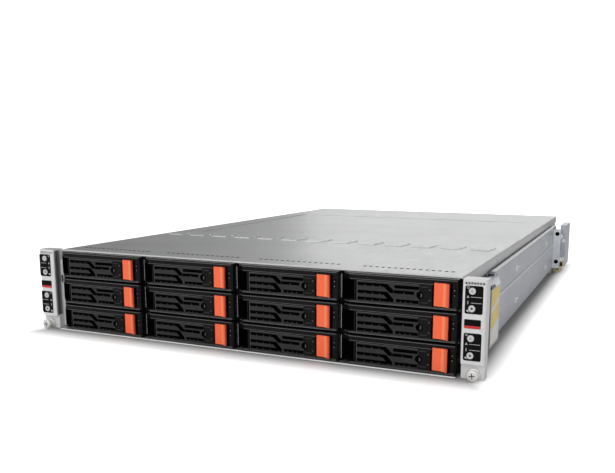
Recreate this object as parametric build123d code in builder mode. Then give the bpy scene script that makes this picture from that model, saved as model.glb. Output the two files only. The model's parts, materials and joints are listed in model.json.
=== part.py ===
from build123d import *
import math
import os

os.makedirs("parts", exist_ok=True)

# Two-unit rack server that holds four independent nodes. Twelve drive trays
# fill the front. Four node sleds and two power supplies fill the rear.
# X runs to the right seen from the front, Y runs back and Z runs up.
# The origin is the centre of the chassis underside. All sizes are millimetres.

# Chassis and covers; the width is that of the drive columns with a side gap
columns = 4
column_pitch = 109.0
column_side_gap = 1.0
chassis_height = 87.0
chassis_depth = 700.0
sheet = 1.2
cover_sheet = 1.0
cover_play = 0.2
cover_flange = 11.0
cover_edge_radius = 1.8
front_cover_depth = 150.0
cover_seam = 0.5
panel_drop = 0.8
lip_height = 1.5
hem_reach = 10.4
hem_thickness = 1.3
hem_drop = 0.3
partition_nose = 1.8

# Clearances
slide_gap = 0.3
rest_gap = 0.1
pin_gap = 0.05

# Drive trays
rows = 3
row_gap = 1.4
bottom_gap = 2.1
top_gap = 1.7
bezel_side = 0.6
bezel_reach = 10.0
bezel_back_gap = 0.4
bezel_chamfer = 1.4
pocket_floor = 2.0
drive_side = 3.7
drive_drop = 0.7
drive_length = 147.0
drive_setback = 3.0
carrier_sheet = 1.1
carrier_drop = 1.8
carrier_end = 152.0

# Finger grip, lever and latch; widths run to the right across the tray.
# The lever is narrower than the bezel by the lever margin.
nose_width = 10.5
nose_edge = 0.4
nose_bulge = 0.5
grip_left = 4.0
grip_tip_width = 0.8
grip_lean = 0.6
grip_shoulder = 1.5
grip_bulge = 3.5
grip_bulge_depth = 5.6
lever_left = 17.6
lever_margin = 39.7
lever_plate = 2.4
lever_rib = 1.2
lever_rib_depth = 3.4
lever_rib_setback = 2.0
lever_rise = 2.7
lever_drop = 6.1
hinge_depth = 3.0
knuckle_radius = 2.0
hinge_pin_radius = 1.2
latch_gap = 1.9
latch_width = 13.7
latch_rise = 3.1
latch_drop = 3.6
latch_flare = 4.0
latch_plate = 2.1
latch_travel = 2.0
latch_edge = 0.6
flare_inset = 7.0
stem_inset = 3.4
stem_width = 7.0
stem_height = 12.0

# Drive bay
bay_wall = 1.0
ledge_width = 2.8
ledge_thickness = 1.2
backplane_y = 156.3
backplane_thickness = 2.4

# Rack ears
ear_gap = 2.3
ear_width = 20.0
ear_reach = 10.85
ear_back = 4.0
ear_step_z = 14.5
ear_bottom = 0.6
ear_step_back = 3.85
ear_wall = 2.0
ear_corner_radius = 3.0
ear_inner_radius = 1.0
ear_flange_length = 28.0
upper_panel_drop = 17.2
lower_panel_z = 29.6
ear_vents = 7
ear_vent_pitch = 2.4
ear_vent_width = 1.7
ear_vent_height = 2.2
vent_row_drop = 3.3
button_radius = 2.8
button_flange_width = 7.2
button_proud = 0.65
button_travel = 1.0
button_pitch = 14.8
board_thickness = 1.6

right_button_inset = 8.1
left_button_inset = 12.2

# Thumbscrews
thumbscrew_inset = 11.25
thumbscrew_z = 5.85
thumbscrew_head_radius = 5.0
thumbscrew_collar_radius = 5.3
thumbscrew_head_front = 16.0
thumbscrew_collar_front = 9.6
shank_radius = 3.0
neck_radius = 2.5
shank_reach = 12.0
boss_radius = 4.7
cross_length = 5.0
cross_width = 1.0
cross_depth = 2.0

# Rails
rail_gap = 2.4
rail_reach = 7.0
rail_low = 10.0
rail_setback = 109.0
rail_length = 531.0
rail_step_drop = 25.0
rail_step_height = 2.0
rail_step = 0.8
bracket_reach = 12.0
bracket_setback = 28.0
bracket_flat = 42.0
bracket_slope = 14.0
bracket_rise = 8.8
bracket_height = 53.2
hook_length = 16.0
hook_drop = 6.0

# Rear post plate of each rail, measured from the rail
flange_lead = 40.0
flange_reach = 11.6
flange_rise = 1.0
flange_height = 63.0
channel_inset = 2.6
channel_width = 9.0
channel_lead = 20.0
channel_length = 60.0
channel_rise = 2.0
channel_height = 67.0
tab_inset = 7.5
tab_width = 15.0
tab_top = 19.0
tab_centre_z = 9.0
tab_hole_radius = 2.6
tab_bridge_height = 6.0
tab_bridge_drop = 5.0
rack_hole_spacing = 44.45
rack_hole_lift = 0.7
rack_hole_radius = 3.3

# Rear bays
bay_half_width = 38.6
rear_bay_start = 166.0
sled_headroom = 1.1
shelf_ledge = 4.0
sled_sheet = 1.0
sled_gap = 2.0
supply_width = 73.5
supply_drop = 0.4
supply_gap = 3.0
power_board_end = 430.0

# Places that follow from the driving dimensions
front_y = -chassis_depth / 2
rear_y = chassis_depth / 2
half_width = columns * column_pitch / 2 + column_side_gap
wall_outer = half_width - cover_sheet - cover_play
cover_flange_bottom = chassis_height - cover_flange
wall_inner = wall_outer - sheet
cover_under = chassis_height - cover_sheet
row_pitch = (chassis_height - bottom_gap - top_gap + row_gap) / rows
bezel_height = row_pitch - row_gap
drive_height = bezel_height - drive_drop
carrier_height = bezel_height - carrier_drop
columns_left = -columns * column_pitch / 2
bezel_width = column_pitch - 2 * bezel_side
lever_right = lever_left + bezel_width - lever_margin
latch_left = lever_right + latch_gap
latch_right = latch_left + latch_width
hinge_x = lever_left + knuckle_radius
bezel_half = bezel_height / 2
lever_low = lever_rise - bezel_half
lever_high = bezel_half - lever_drop
latch_low = latch_rise - bezel_half
latch_high = bezel_half - latch_drop
front_lip_bottom = chassis_height - lip_height
bottom_row_z = bottom_gap + bezel_half
row_heights = {
    "top": bottom_row_z + 2 * row_pitch,
    "middle": bottom_row_z + row_pitch,
    "bottom": bottom_row_z,
}
hem_top = bottom_gap - hem_drop
ear_left = half_width + ear_gap
thumbscrew_x = ear_left + thumbscrew_inset
rail_outer = half_width + rail_reach
rail_high = cover_flange_bottom
rail_end = rail_setback + rail_length
bracket_outer = rail_outer + bracket_reach
bracket_flat_end = bracket_setback + bracket_flat
bracket_low = rail_low + bracket_rise
bracket_high = bracket_low + bracket_height
flange_setback = rail_end - flange_lead
flange_outer = rail_outer + flange_reach
channel_setback = rail_end - channel_lead
rack_hole_centre_z = chassis_height / 2 + rack_hole_lift
upper_panel_z = chassis_height - upper_panel_drop
vent_row_z = chassis_height - vent_row_drop
sled_end = chassis_depth - sled_gap
supply_length = sled_end - power_board_end - supply_gap
level_top = cover_under - panel_drop - sled_headroom
shelf_z = (level_top + 2 * sheet + slide_gap) / 2
sled_height = level_top - shelf_z - slide_gap
supply_height = sled_height - supply_drop


def from_front(distance):
    """Y coordinate of a point that far behind the front edge of the chassis."""
    return front_y + distance


def block(x_span, y_span, z_span, mode=Mode.ADD):
    """Box between two limits along each axis."""
    x_low, x_high = x_span
    y_low, y_high = y_span
    z_low, z_high = z_span
    centre = ((x_low + x_high) / 2, (y_low + y_high) / 2, (z_low + z_high) / 2)
    with Locations(centre):
        Box(x_high - x_low, y_high - y_low, z_high - z_low, mode=mode)


def rod(x, y_span, z, radius, mode=Mode.ADD):
    """Cylinder along Y."""
    y_low, y_high = y_span
    with Locations((x, (y_low + y_high) / 2, z)):
        Cylinder(radius, y_high - y_low, rotation=(90, 0, 0), mode=mode)


def long_top_edges(cover):
    """The two outer top edges that run from front to back."""
    edges = cover.edges().filter_by(Axis.Y).group_by(Axis.Z)[-1].sort_by(Axis.X)
    return [edges[0], edges[-1]]


def save(shape, name):
    """Labels one finished piece and writes it."""
    shape.label = name
    export_step(shape, f"parts/{name}.step")


# Chassis base: the bent pan with its front hem, the walls of the power supply
# bay, the ledges that carry the upper sleds and the slide members outside.
slide_member_reach = rail_outer - sheet - slide_gap
slide_member_low = rail_low + sheet + slide_gap
slide_member_high = rail_high - sheet - slide_gap
shelf_low = shelf_z - sheet
bay_wall_outer = bay_half_width + sheet

with BuildPart() as chassis_base:
    with BuildSketch(Plane.XZ.offset(-front_y)):
        with Locations((0, cover_under / 2)):
            Rectangle(2 * wall_outer, cover_under)
        with Locations((0, sheet + cover_under / 2)):
            Rectangle(2 * wall_inner, cover_under, mode=Mode.SUBTRACT)
    extrude(amount=-chassis_depth)
    hem_run = (from_front(-hem_reach), front_y)
    block((-wall_outer, wall_outer), hem_run, (hem_top - hem_thickness, hem_top))
    for side in (-1, 1):
        bay_faces = sorted((side * bay_half_width, side * bay_wall_outer))
        rear_run = (from_front(rear_bay_start), rear_y)
        block(bay_faces, rear_run, (0, cover_under - panel_drop))
        bay_ledge = sorted((side * bay_half_width, side * (bay_wall_outer + shelf_ledge)))
        block(bay_ledge, rear_run, (shelf_low, shelf_z))
        wall_ledge = sorted((side * (wall_inner - shelf_ledge), side * wall_inner))
        block(wall_ledge, rear_run, (shelf_low, shelf_z))
        member = sorted((side * wall_outer, side * slide_member_reach))
        member_run = (from_front(rail_setback), from_front(rail_end))
        block(member, member_run, (slide_member_low, slide_member_high))
        hollow = sorted((side * (wall_outer + sheet), side * (slide_member_reach + sheet)))
        member_inside = (slide_member_low + sheet, slide_member_high - sheet)
        block(hollow, member_run, member_inside, mode=Mode.SUBTRACT)
    block((-bay_half_width, bay_half_width), rear_run, (shelf_low, shelf_z))
save(chassis_base.part, "chassis_base")

# Front cover: fixed sheet over the drive bay, with four groups of vent slots.
slot_groups = 4
slots_per_group = 15
slot_pitch = 5.9
slot_width = 3.0
slot_length = 4.5
slot_y = 22.0

with BuildPart() as front_cover:
    front_cover_end = from_front(front_cover_depth - cover_seam / 2)
    cover_run = (front_y, front_cover_end)
    block((-half_width, half_width), cover_run, (cover_flange_bottom, chassis_height))
    flange_inside = half_width - cover_sheet
    block((-flange_inside, flange_inside), cover_run, (0, cover_under), mode=Mode.SUBTRACT)
    fillet(long_top_edges(front_cover), cover_edge_radius)
    lip_run = (from_front(-cover_sheet), front_y)
    block((-half_width, half_width), lip_run, (front_lip_bottom, chassis_height))
    top_face = Plane.XY.offset(cover_under)
    with BuildSketch(top_face):
        for group in range(slot_groups):
            group_x = columns_left + (group + 0.5) * column_pitch
            with Locations((group_x, from_front(slot_y))):
                with GridLocations(slot_pitch, slot_length, slots_per_group, 1):
                    Rectangle(slot_width, slot_length)
    extrude(amount=cover_sheet, mode=Mode.SUBTRACT)
save(front_cover.part, "front_cover")

# Rear cover: sheet over the nodes, with a row of stiffening bosses pressed
# up behind the seam and a wide shallow panel pressed down behind them.
boss_count = 13
boss_pitch = 32.7
boss_front = 175.0
boss_middle = 189.0
boss_back = 204.0
boss_front_width = 20.5
boss_back_width = 24.0
boss_rise = 0.9
boss_edge = 0.5
panel_half_width = 188.0
panel_front = 222.0
panel_back = 550.0

with BuildPart() as rear_cover:
    cover_run = (from_front(front_cover_depth + cover_seam / 2), rear_y)
    block((-half_width, half_width), cover_run, (cover_flange_bottom, chassis_height))
    block((-flange_inside, flange_inside), cover_run, (0, cover_under), mode=Mode.SUBTRACT)
    fillet(long_top_edges(rear_cover), cover_edge_radius)
    under_half = panel_half_width + cover_sheet
    under_run = (from_front(panel_front - cover_sheet), from_front(panel_back + cover_sheet))
    block((-under_half, under_half), under_run, (cover_under - panel_drop, cover_under))
    panel_run = (from_front(panel_front), from_front(panel_back))
    panel_span = (-panel_half_width, panel_half_width)
    dropped = (chassis_height - panel_drop, chassis_height)
    block(panel_span, panel_run, dropped, mode=Mode.SUBTRACT)
    front_half = (boss_front + boss_middle) / 2
    back_half = (boss_middle + boss_back) / 2
    with BuildSketch(Plane.XY.offset(chassis_height)):
        with GridLocations(boss_pitch, 1, boss_count, 1):
            with Locations((0, from_front(front_half))):
                Rectangle(boss_front_width, boss_middle - boss_front)
            with Locations((0, from_front(back_half))):
                Rectangle(boss_back_width, boss_back - boss_middle)
    extrude(amount=boss_rise)
    boss_tops = rear_cover.faces().sort_by(Axis.Z)[-boss_count:]
    chamfer(boss_tops.edges(), boss_edge)
    with BuildSketch(Plane.XY.offset(cover_under)):
        with GridLocations(boss_pitch, 1, boss_count, 1):
            with Locations((0, from_front((boss_front + boss_back) / 2))):
                Rectangle(boss_front_width - 2 * cover_sheet, boss_back - boss_front - 2 * cover_sheet)
    extrude(amount=boss_rise, mode=Mode.SUBTRACT)
save(rear_cover.part, "rear_cover")

# Drive cage: the three partitions between columns, a liner on each side wall,
# the ledges that every carrier slides on, the backplane with its connectors
# and the power board between the backplane and the power supplies.
cage_run = (front_y, from_front(backplane_y - rest_gap))
connector_height = 9.0
connector_width = 34.0
vent_width = 60.0
vent_height = 7.0
ledge_drop = carrier_height / 2 + slide_gap
connector_drop = 1.0
vent_rise = 1.0
nose_rise = (hem_top + rest_gap, front_lip_bottom - rest_gap)

with BuildPart() as drive_cage:
    for boundary in range(columns + 1):
        boundary_x = columns_left + boundary * column_pitch
        low = max(boundary_x - bay_wall / 2, rest_gap - wall_inner)
        high = min(boundary_x + bay_wall / 2, wall_inner - rest_gap)
        if boundary == 0:
            high = low + bay_wall
        if boundary == columns:
            low = high - bay_wall
        block((low, high), cage_run, (sheet + rest_gap, cover_under - rest_gap))
        if 0 < boundary < columns:
            block((low, high), (from_front(-partition_nose), front_y), nose_rise)
        for row_z in row_heights.values():
            ledge_z = (row_z - ledge_drop - ledge_thickness, row_z - ledge_drop)
            if boundary > 0:
                block((boundary_x - ledge_width - bay_wall / 2, low), cage_run, ledge_z)
            if boundary < columns:
                block((high, boundary_x + ledge_width + bay_wall / 2), cage_run, ledge_z)
    board_back = backplane_y + backplane_thickness
    board_run = (from_front(backplane_y), from_front(board_back))
    board_half = wall_inner - rest_gap
    block((-board_half, board_half), board_run, (sheet + rest_gap, cover_under - rest_gap))
    for column in range(columns):
        cell_x = columns_left + (column + 0.5) * column_pitch
        for row_z in row_heights.values():
            socket = (cell_x - connector_width / 2, cell_x + connector_width / 2)
            socket_run = (from_front(carrier_end + slide_gap), from_front(backplane_y))
            socket_z = (row_z - connector_height, row_z - connector_drop)
            block(socket, socket_run, socket_z)
            vent = (cell_x - vent_width / 2, cell_x + vent_width / 2)
            vent_z = (row_z + vent_rise, row_z + vent_rise + vent_height)
            block(vent, board_run, vent_z, mode=Mode.SUBTRACT)
    power_half = bay_half_width - rest_gap
    power_run = (from_front(board_back), from_front(power_board_end))
    for power_low in (sheet + rest_gap, shelf_z + rest_gap):
        block((-power_half, power_half), power_run, (power_low, power_low + supply_height))
save(drive_cage.part, "drive_cage")


# Drive tray: a bezel whose left end slopes back, with a pocket for the lever
# and the latch, a concave finger grip, the hinge pin, the carrier behind it
# and the drive that it holds.
cross_strip_height = 4.0


def make_tray():
    face = from_front(-bezel_reach)
    back = from_front(-bezel_back_gap)
    floor = from_front(-pocket_floor)
    axle_y = face + hinge_depth
    pocket_low = lever_low - slide_gap
    pocket_high = lever_high + slide_gap
    latch_end = latch_right + latch_travel + slide_gap
    right = column_pitch - bezel_side
    nose = (bezel_side, back - nose_edge)
    nose_end = (bezel_side + nose_width, face)
    nose_middle = ((nose[0] + nose_end[0]) / 2 - nose_bulge, (nose[1] + nose_end[1]) / 2 - nose_bulge)
    sweep = math.hypot(knuckle_radius, hinge_depth) + slide_gap
    grip_back = hinge_x - sweep
    grip_edge = (grip_back + grip_lean, face + slide_gap)
    grip_tip = (grip_edge[0] - grip_tip_width, grip_edge[1])
    grip_middle = (grip_back - grip_bulge, face + grip_bulge_depth)
    grip_foot = (grip_left, floor)
    grip_corner = (grip_back, face + grip_shoulder)
    with BuildPart() as tray:
        with BuildSketch(Plane.XY.offset(-bezel_half)):
            with BuildLine():
                ThreePointArc(nose, nose_middle, nose_end)
                Polyline(nose_end, (right, face), (right, back), (bezel_side, back), nose)
            make_face()
        extrude(amount=bezel_height)
        front_edges = tray.faces().sort_by(Axis.Y)[0].edges().sort_by(Axis.X)
        chamfer(front_edges[1:], bezel_chamfer)
        lever_pocket = (bezel_side, latch_left)
        block(lever_pocket, (face, floor), (pocket_low, pocket_high), mode=Mode.SUBTRACT)
        latch_pocket = (lever_right + slide_gap, latch_end)
        latch_rise = (pocket_low, latch_high + slide_gap)
        block(latch_pocket, (face, floor), latch_rise, mode=Mode.SUBTRACT)
        with BuildSketch(Plane.XY.offset(pocket_low)):
            with BuildLine():
                Polyline(grip_foot, (grip_back, floor), grip_corner, grip_edge, grip_tip)
                ThreePointArc(grip_tip, grip_middle, grip_foot)
            make_face()
        extrude(amount=pocket_high - pocket_low)
        with Locations((hinge_x, axle_y, (pocket_low + pocket_high) / 2)):
            Cylinder(hinge_pin_radius, pocket_high - pocket_low)
        carrier_out = drive_side - rest_gap - carrier_sheet
        carrier_run = (back, from_front(carrier_end))
        half = carrier_height / 2
        block((carrier_out, carrier_out + carrier_sheet), carrier_run, (-half, half))
        far = column_pitch - carrier_out
        block((far - carrier_sheet, far), carrier_run, (-half, half))
        cross_run = (from_front(carrier_end - carrier_sheet), from_front(carrier_end))
        block((carrier_out, far), cross_run, (half - cross_strip_height, half))
        drive_run = (from_front(drive_setback), from_front(drive_setback + drive_length))
        drive_rise = (-drive_height / 2, drive_height / 2)
        block((drive_side, column_pitch - drive_side), drive_run, drive_rise)
    return tray.part


# Lever: a ribbed plate pierced by three rows of air slots that step down
# along two slanted cuts, with a knuckle at its left end. Slots are measured
# from the left end of the lever and from its upper and lower edges.
air_slot_height = 2.6
slot_inset = 0.8
upper_row = lever_high - 3.0
middle_row = lever_low + 8.0
lower_row = lever_low + 2.0
upper_left_end = 28.4
middle_left_end = 28.6
lower_left_end = 29.9
upper_right_row = lever_high - 3.4
middle_right_row = lever_low + 10.1
lower_right_row = lever_low + 2.4
upper_right_start = 35.0
upper_right_end = 56.8
middle_right_start = 34.4
middle_right_end = 52.6
lower_right_start = 36.6
lower_right_end = 56.7
slant_width = 3.3
slant_run = 5.6


def make_lever():
    face = from_front(-bezel_reach)
    inside = face + lever_plate
    axle_y = face + hinge_depth
    rib_run = (inside, inside + lever_rib_depth)
    rib_left = hinge_x + knuckle_radius + lever_rib_setback
    slots = (
        (slot_inset, upper_left_end, upper_row),
        (slot_inset, middle_left_end, middle_row),
        (slot_inset, lower_left_end, lower_row),
        (upper_right_start, upper_right_end, upper_right_row),
        (middle_right_start, middle_right_end, middle_right_row),
        (lower_right_start, lower_right_end, lower_right_row),
    )
    half_slot = air_slot_height / 2
    slants = (
        (upper_row + half_slot, middle_right_row - half_slot, upper_left_end),
        (middle_row + half_slot, lower_row - half_slot, middle_left_end),
    )
    with BuildPart() as lever:
        block((lever_left, lever_right), (face, inside), (lever_low, lever_high))
        block((rib_left, lever_right), rib_run, (lever_low, lever_low + lever_rib))
        block((rib_left, lever_right), rib_run, (lever_high - lever_rib, lever_high))
        block((lever_right - lever_rib, lever_right), rib_run, (lever_low, lever_high))
        with BuildSketch(Plane.XZ.offset(-face)):
            for start, end, row_z in slots:
                with Locations((lever_left + (start + end) / 2, row_z)):
                    Rectangle(end - start, air_slot_height)
            for top, bottom, start in slants:
                left = lever_left + start - slant_width
                right = lever_left + start
                with BuildLine():
                    Polyline(
                        (left, top),
                        (right, top),
                        (right + slant_run, bottom + air_slot_height),
                        (right + slant_run, bottom),
                        (right + slant_run - slant_width, bottom),
                        (left, top - air_slot_height),
                        close=True,
                    )
                make_face()
        extrude(amount=-lever_plate, mode=Mode.SUBTRACT)
        with Locations((hinge_x, axle_y, (lever_low + lever_high) / 2)):
            Cylinder(knuckle_radius, lever_high - lever_low)
            Cylinder(hinge_pin_radius + pin_gap, lever_high - lever_low, mode=Mode.SUBTRACT)
    return lever.part


# Latch: a thumb piece whose right side flares forward, on a short stem.
flare_middle = 3.8
flare_middle_rise = 1.4
latch_dip = 0.4
latch_lift = 0.2
flare_corner = 0.5
latch_root = 1.0


def make_latch():
    face = from_front(-bezel_reach)
    tip_y = face - latch_flare
    back = face + latch_plate
    stem_end = from_front(-pocket_floor - slide_gap)
    stem_left = latch_left + stem_inset
    stem_right = stem_left + stem_width
    left_edge = (latch_left, face + latch_dip)
    flare_start = (latch_left + flare_inset, face - latch_lift)
    flare_rise = (flare_start[0] + flare_middle, face - flare_middle_rise)
    flare_end = (latch_right - latch_edge, tip_y)
    with BuildPart() as latch:
        with BuildSketch(Plane.XY.offset(latch_low)):
            with BuildLine():
                Line(left_edge, flare_start)
                ThreePointArc(flare_start, flare_rise, flare_end)
                Polyline(flare_end, (latch_right, tip_y + flare_corner), (latch_right, face - latch_root))
                Polyline((latch_right, face - latch_root), (stem_right, back), (latch_left, back), left_edge)
            make_face()
        extrude(amount=latch_high - latch_low)
        block((stem_left, stem_right), (back, stem_end), (-stem_height / 2, stem_height / 2))
    return latch.part


tray_shape = make_tray()
lever_shape = make_lever()
latch_shape = make_latch()
for row_name, row_z in row_heights.items():
    for column in range(columns):
        cell = Location((columns_left + column * column_pitch, 0, row_z))
        place = f"{row_name}_{column + 1}"
        save(tray_shape.moved(cell), f"tray_{place}")
        save(lever_shape.moved(cell), f"lever_{place}")
        save(latch_shape.moved(cell), f"latch_{place}")


# Rack ear: a hollow control box over a set-back tab, with the flange that
# screws to the chassis wall and the control board with its four switches.
ear_right = ear_left + ear_width
ear_face = from_front(-ear_reach)
ear_tab_face = ear_face + ear_step_back
ear_back_y = from_front(ear_back)
switch_size = 5.0
switch_depth = 0.8
switch_gap = 3.5
switch_front = ear_face + ear_wall + switch_gap
board_front = switch_front + switch_depth
ear_flange_low = 3.0
ear_flange_drop = 0.5
ear_strip_lap = 1.0


def button_heights():
    """Heights of the four buttons, from the top down."""
    pairs = [(z + button_pitch / 2, z - button_pitch / 2) for z in (upper_panel_z, lower_panel_z)]
    return [height for pair in pairs for height in pair]


def make_ear(button_x):
    cavity_left = ear_left + ear_wall
    cavity_right = ear_right - ear_wall
    with BuildPart() as ear:
        block((ear_left, ear_right), (ear_face, ear_back_y), (ear_step_z, chassis_height))
        outer_edges = ear.edges().filter_by(Axis.Z).group_by(Axis.Y)[0].sort_by(Axis.X)
        fillet(outer_edges[-1], ear_corner_radius)
        fillet(outer_edges[0], ear_inner_radius)
        block((ear_left, ear_right), (ear_tab_face, ear_back_y), (ear_bottom, ear_step_z))
        upper_cavity = (ear_step_z + ear_wall, chassis_height - ear_wall)
        lower_cavity = (ear_bottom + ear_wall, ear_step_z)
        cavity = (cavity_left, cavity_right)
        block(cavity, (ear_face + ear_wall, ear_back_y), upper_cavity, mode=Mode.SUBTRACT)
        block(cavity, (ear_tab_face + ear_wall, ear_back_y), lower_cavity, mode=Mode.SUBTRACT)
        rod(thumbscrew_x, (ear_tab_face, ear_back_y), thumbscrew_z, boss_radius)
        bore = shank_radius + slide_gap
        rod(thumbscrew_x, (ear_tab_face, ear_back_y), thumbscrew_z, bore, mode=Mode.SUBTRACT)
        strip = (wall_outer, ear_left + ear_strip_lap)
        strip_rise = (ear_flange_low, cover_flange_bottom - ear_flange_drop)
        block(strip, (front_y, front_y + sheet), strip_rise)
        flange = (wall_outer, wall_outer + sheet)
        block(flange, (front_y, from_front(ear_flange_length)), strip_rise)
        with BuildSketch(Plane.XZ.offset(-ear_face)):
            with Locations((ear_left + ear_width / 2, vent_row_z)):
                with GridLocations(ear_vent_pitch, ear_vent_height, ear_vents, 1):
                    Rectangle(ear_vent_width, ear_vent_height)
        extrude(amount=-ear_wall, mode=Mode.SUBTRACT)
        for height in button_heights():
            bore = button_radius + slide_gap
            rod(button_x, (ear_face, ear_face + ear_wall), height, bore, mode=Mode.SUBTRACT)
        board = (cavity_left + rest_gap, cavity_right - rest_gap)
        board_run = (board_front, board_front + board_thickness)
        block(board, board_run, (upper_cavity[0] + rest_gap, upper_cavity[1] - rest_gap))
        for height in button_heights():
            switch = (button_x - switch_size / 2, button_x + switch_size / 2)
            switch_rise = (height - switch_size / 2, height + switch_size / 2)
            block(switch, (switch_front, board_front), switch_rise)
    return ear.part


def make_button(button_x, height):
    """Round button with a square retaining flange behind the front wall."""
    front = ear_face - button_proud
    flange_front = ear_face + ear_wall + slide_gap
    back = switch_front - slide_gap - button_travel
    with BuildPart() as button:
        rod(button_x, (front, flange_front), height, button_radius)
        half = button_flange_width / 2
        flange_rise = (height - half, height + half)
        block((button_x - half, button_x + half), (flange_front, back), flange_rise)
    return button.part


def make_thumbscrew():
    with BuildPart() as thumbscrew:
        head_y = from_front(-thumbscrew_head_front)
        collar_y = from_front(-thumbscrew_collar_front)
        seat_y = ear_tab_face - rest_gap
        rod(thumbscrew_x, (head_y, collar_y), thumbscrew_z, thumbscrew_head_radius)
        rod(thumbscrew_x, (collar_y, seat_y), thumbscrew_z, thumbscrew_collar_radius)
        rod(thumbscrew_x, (seat_y, ear_back_y), thumbscrew_z, neck_radius)
        rod(thumbscrew_x, (ear_back_y, ear_back_y + shank_reach), thumbscrew_z, shank_radius)
        with BuildSketch(Plane.XZ.offset(-head_y)):
            with Locations((thumbscrew_x, thumbscrew_z)):
                Rectangle(cross_length, cross_width)
                Rectangle(cross_width, cross_length)
        extrude(amount=-cross_depth, mode=Mode.SUBTRACT)
    return thumbscrew.part


ears = {"right": ear_left + right_button_inset, "left": ear_left + left_button_inset}
button_names = ("upper_power", "upper_reset", "lower_power", "lower_reset")
for side, button_x in ears.items():
    pieces = {f"{side}_ear": make_ear(button_x)}
    for button_name, height in zip(button_names, button_heights()):
        pieces[f"{side}_{button_name}_button"] = make_button(button_x, height)
    pieces[f"{side}_thumbscrew"] = make_thumbscrew()
    for name, piece in pieces.items():
        if side == "left":
            piece = piece.mirror(Plane.YZ)
        save(piece, name)


# Rail: a channel around the slide member, a bracket box behind the front
# post, and a pierced flange with a box channel and a tab at the rear post.
def make_rail():
    web_in = rail_outer - sheet
    rail_in = half_width + rail_gap
    step_high = rail_high - rail_step_drop
    step_low = step_high - rail_step_height
    step_outer = rail_outer + rail_step
    rail_front_y = from_front(rail_setback)
    slope_y = from_front(rail_setback + bracket_slope)
    bracket_y = from_front(bracket_setback)
    bracket_bend_y = from_front(bracket_flat_end)
    flange_y = from_front(flange_setback)
    channel_y = from_front(channel_setback)
    channel_end_y = channel_y + channel_length
    channel_in = flange_outer - channel_inset
    channel_out = channel_in + channel_width
    tab_x = rail_outer + tab_inset
    with BuildPart() as rail:
        with BuildSketch(Plane.XZ.offset(-rail_front_y)):
            with BuildLine():
                Polyline(
                    (rail_in, rail_high),
                    (rail_outer, rail_high),
                    (rail_outer, step_high),
                    (step_outer, step_low),
                    (step_outer, rail_low),
                    (rail_in, rail_low),
                    (rail_in, rail_low + sheet),
                    (web_in, rail_low + sheet),
                    (web_in, rail_high - sheet),
                    (rail_in, rail_high - sheet),
                    close=True,
                )
            make_face()
        extrude(amount=-rail_length)
        with BuildSketch(Plane.XY.offset(bracket_low)):
            with BuildLine():
                Polyline(
                    (rail_outer, slope_y),
                    (bracket_outer, bracket_bend_y),
                    (bracket_outer, bracket_y),
                    (rail_in, bracket_y),
                    (rail_in, bracket_y + sheet),
                    (bracket_outer - sheet, bracket_y + sheet),
                    (bracket_outer - sheet, bracket_bend_y - sheet / 2),
                    (web_in, rail_front_y),
                    close=True,
                )
            make_face()
        extrude(amount=bracket_height)
        with BuildSketch(Plane.XY.offset(bracket_high - sheet)):
            with BuildLine():
                Polyline(
                    (rail_outer, slope_y),
                    (bracket_outer, bracket_bend_y),
                    (bracket_outer, bracket_y),
                    (rail_in, bracket_y),
                    (rail_in, rail_front_y),
                    close=True,
                )
            make_face()
        extrude(amount=sheet)
        flange_run = (flange_y, flange_y + sheet)
        flange_low = rail_low + flange_rise
        flange_span = (flange_low, flange_low + flange_height)
        block((rail_outer, flange_outer), flange_run, flange_span)
        block((flange_outer - sheet, flange_outer), (flange_y, channel_end_y), flange_span)
        channel_low = rail_low + channel_rise
        channel_high = channel_low + channel_height
        block((channel_in, channel_out), (channel_y, channel_end_y), (channel_low, channel_high))
        inside = (channel_in + sheet, channel_out - sheet)
        inside_rise = (channel_low, channel_high - sheet)
        block(inside, (channel_y + sheet, channel_end_y), inside_rise, mode=Mode.SUBTRACT)
        tab_run = (channel_y, channel_y + sheet)
        tab_radius = tab_width / 2
        block((tab_x - tab_radius, tab_x + tab_radius), tab_run, (tab_centre_z, tab_top))
        rod(tab_x, tab_run, tab_centre_z, tab_radius)
        bridge_rise = (tab_top - tab_bridge_drop, tab_top - tab_bridge_drop + tab_bridge_height)
        block((web_in, tab_x + tab_radius), tab_run, bridge_rise)
        for hole_z in (-rack_hole_spacing / 2, rack_hole_spacing / 2):
            rod(thumbscrew_x, flange_run, rack_hole_centre_z + hole_z, rack_hole_radius, mode=Mode.SUBTRACT)
        rod(tab_x, tab_run, tab_centre_z, tab_hole_radius, mode=Mode.SUBTRACT)
        hook_run = (flange_y - hook_length, flange_y)
        block((web_in, rail_outer), hook_run, (rail_low - hook_drop, rail_low))
    return rail.part


right_rail = make_rail()
save(right_rail, "right_rail")
save(right_rail.mirror(Plane.YZ), "left_rail")


# Node sled: an open tray on two runners with its main board, fans, heat
# sinks, memory and a card riser, closed at the rear by a pierced panel with
# a pull handle. Widths are measured from the nearer side of the sled.
runner_inset = 8.0
runner_width = 6.0
runner_height = 4.0
board_inset = 3.0
board_gap = 0.1
part_headroom = 2.0
vent_opening_width = 74.0
vent_opening_height = 18.0
vent_opening_inset = 53.0
vent_opening_drop = 15.4
port_width = 16.0
port_height = 13.5
port_inset = 20.0
port_pitch = 19.0
port_centre_z = 12.0
data_port_width = 14.0
data_port_height = 7.0
screen_port_width = 17.0
screen_port_height = 9.0
screen_port_gap = 19.0
sled_handle_inset = 22.0
sled_handle_width = 46.0
sled_handle_reach = 16.0
sled_handle_bar = 4.0
sled_handle_z = 8.0
fans = 4
fan_pitch = 44.0
fan_size = 40.0
fan_depth = 28.0
fan_setback = 40.0
mating_inset = 10.0
mating_setback = 5.0
mating_depth = 20.0
mating_height = 14.0
processors = 2
processor_pitch = 150.0
sink_width = 60.0
sink_length = 90.0
memory_inset = 12.0
memory_width = 36.0
memory_length = 134.0
memory_drop = 4.0
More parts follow.
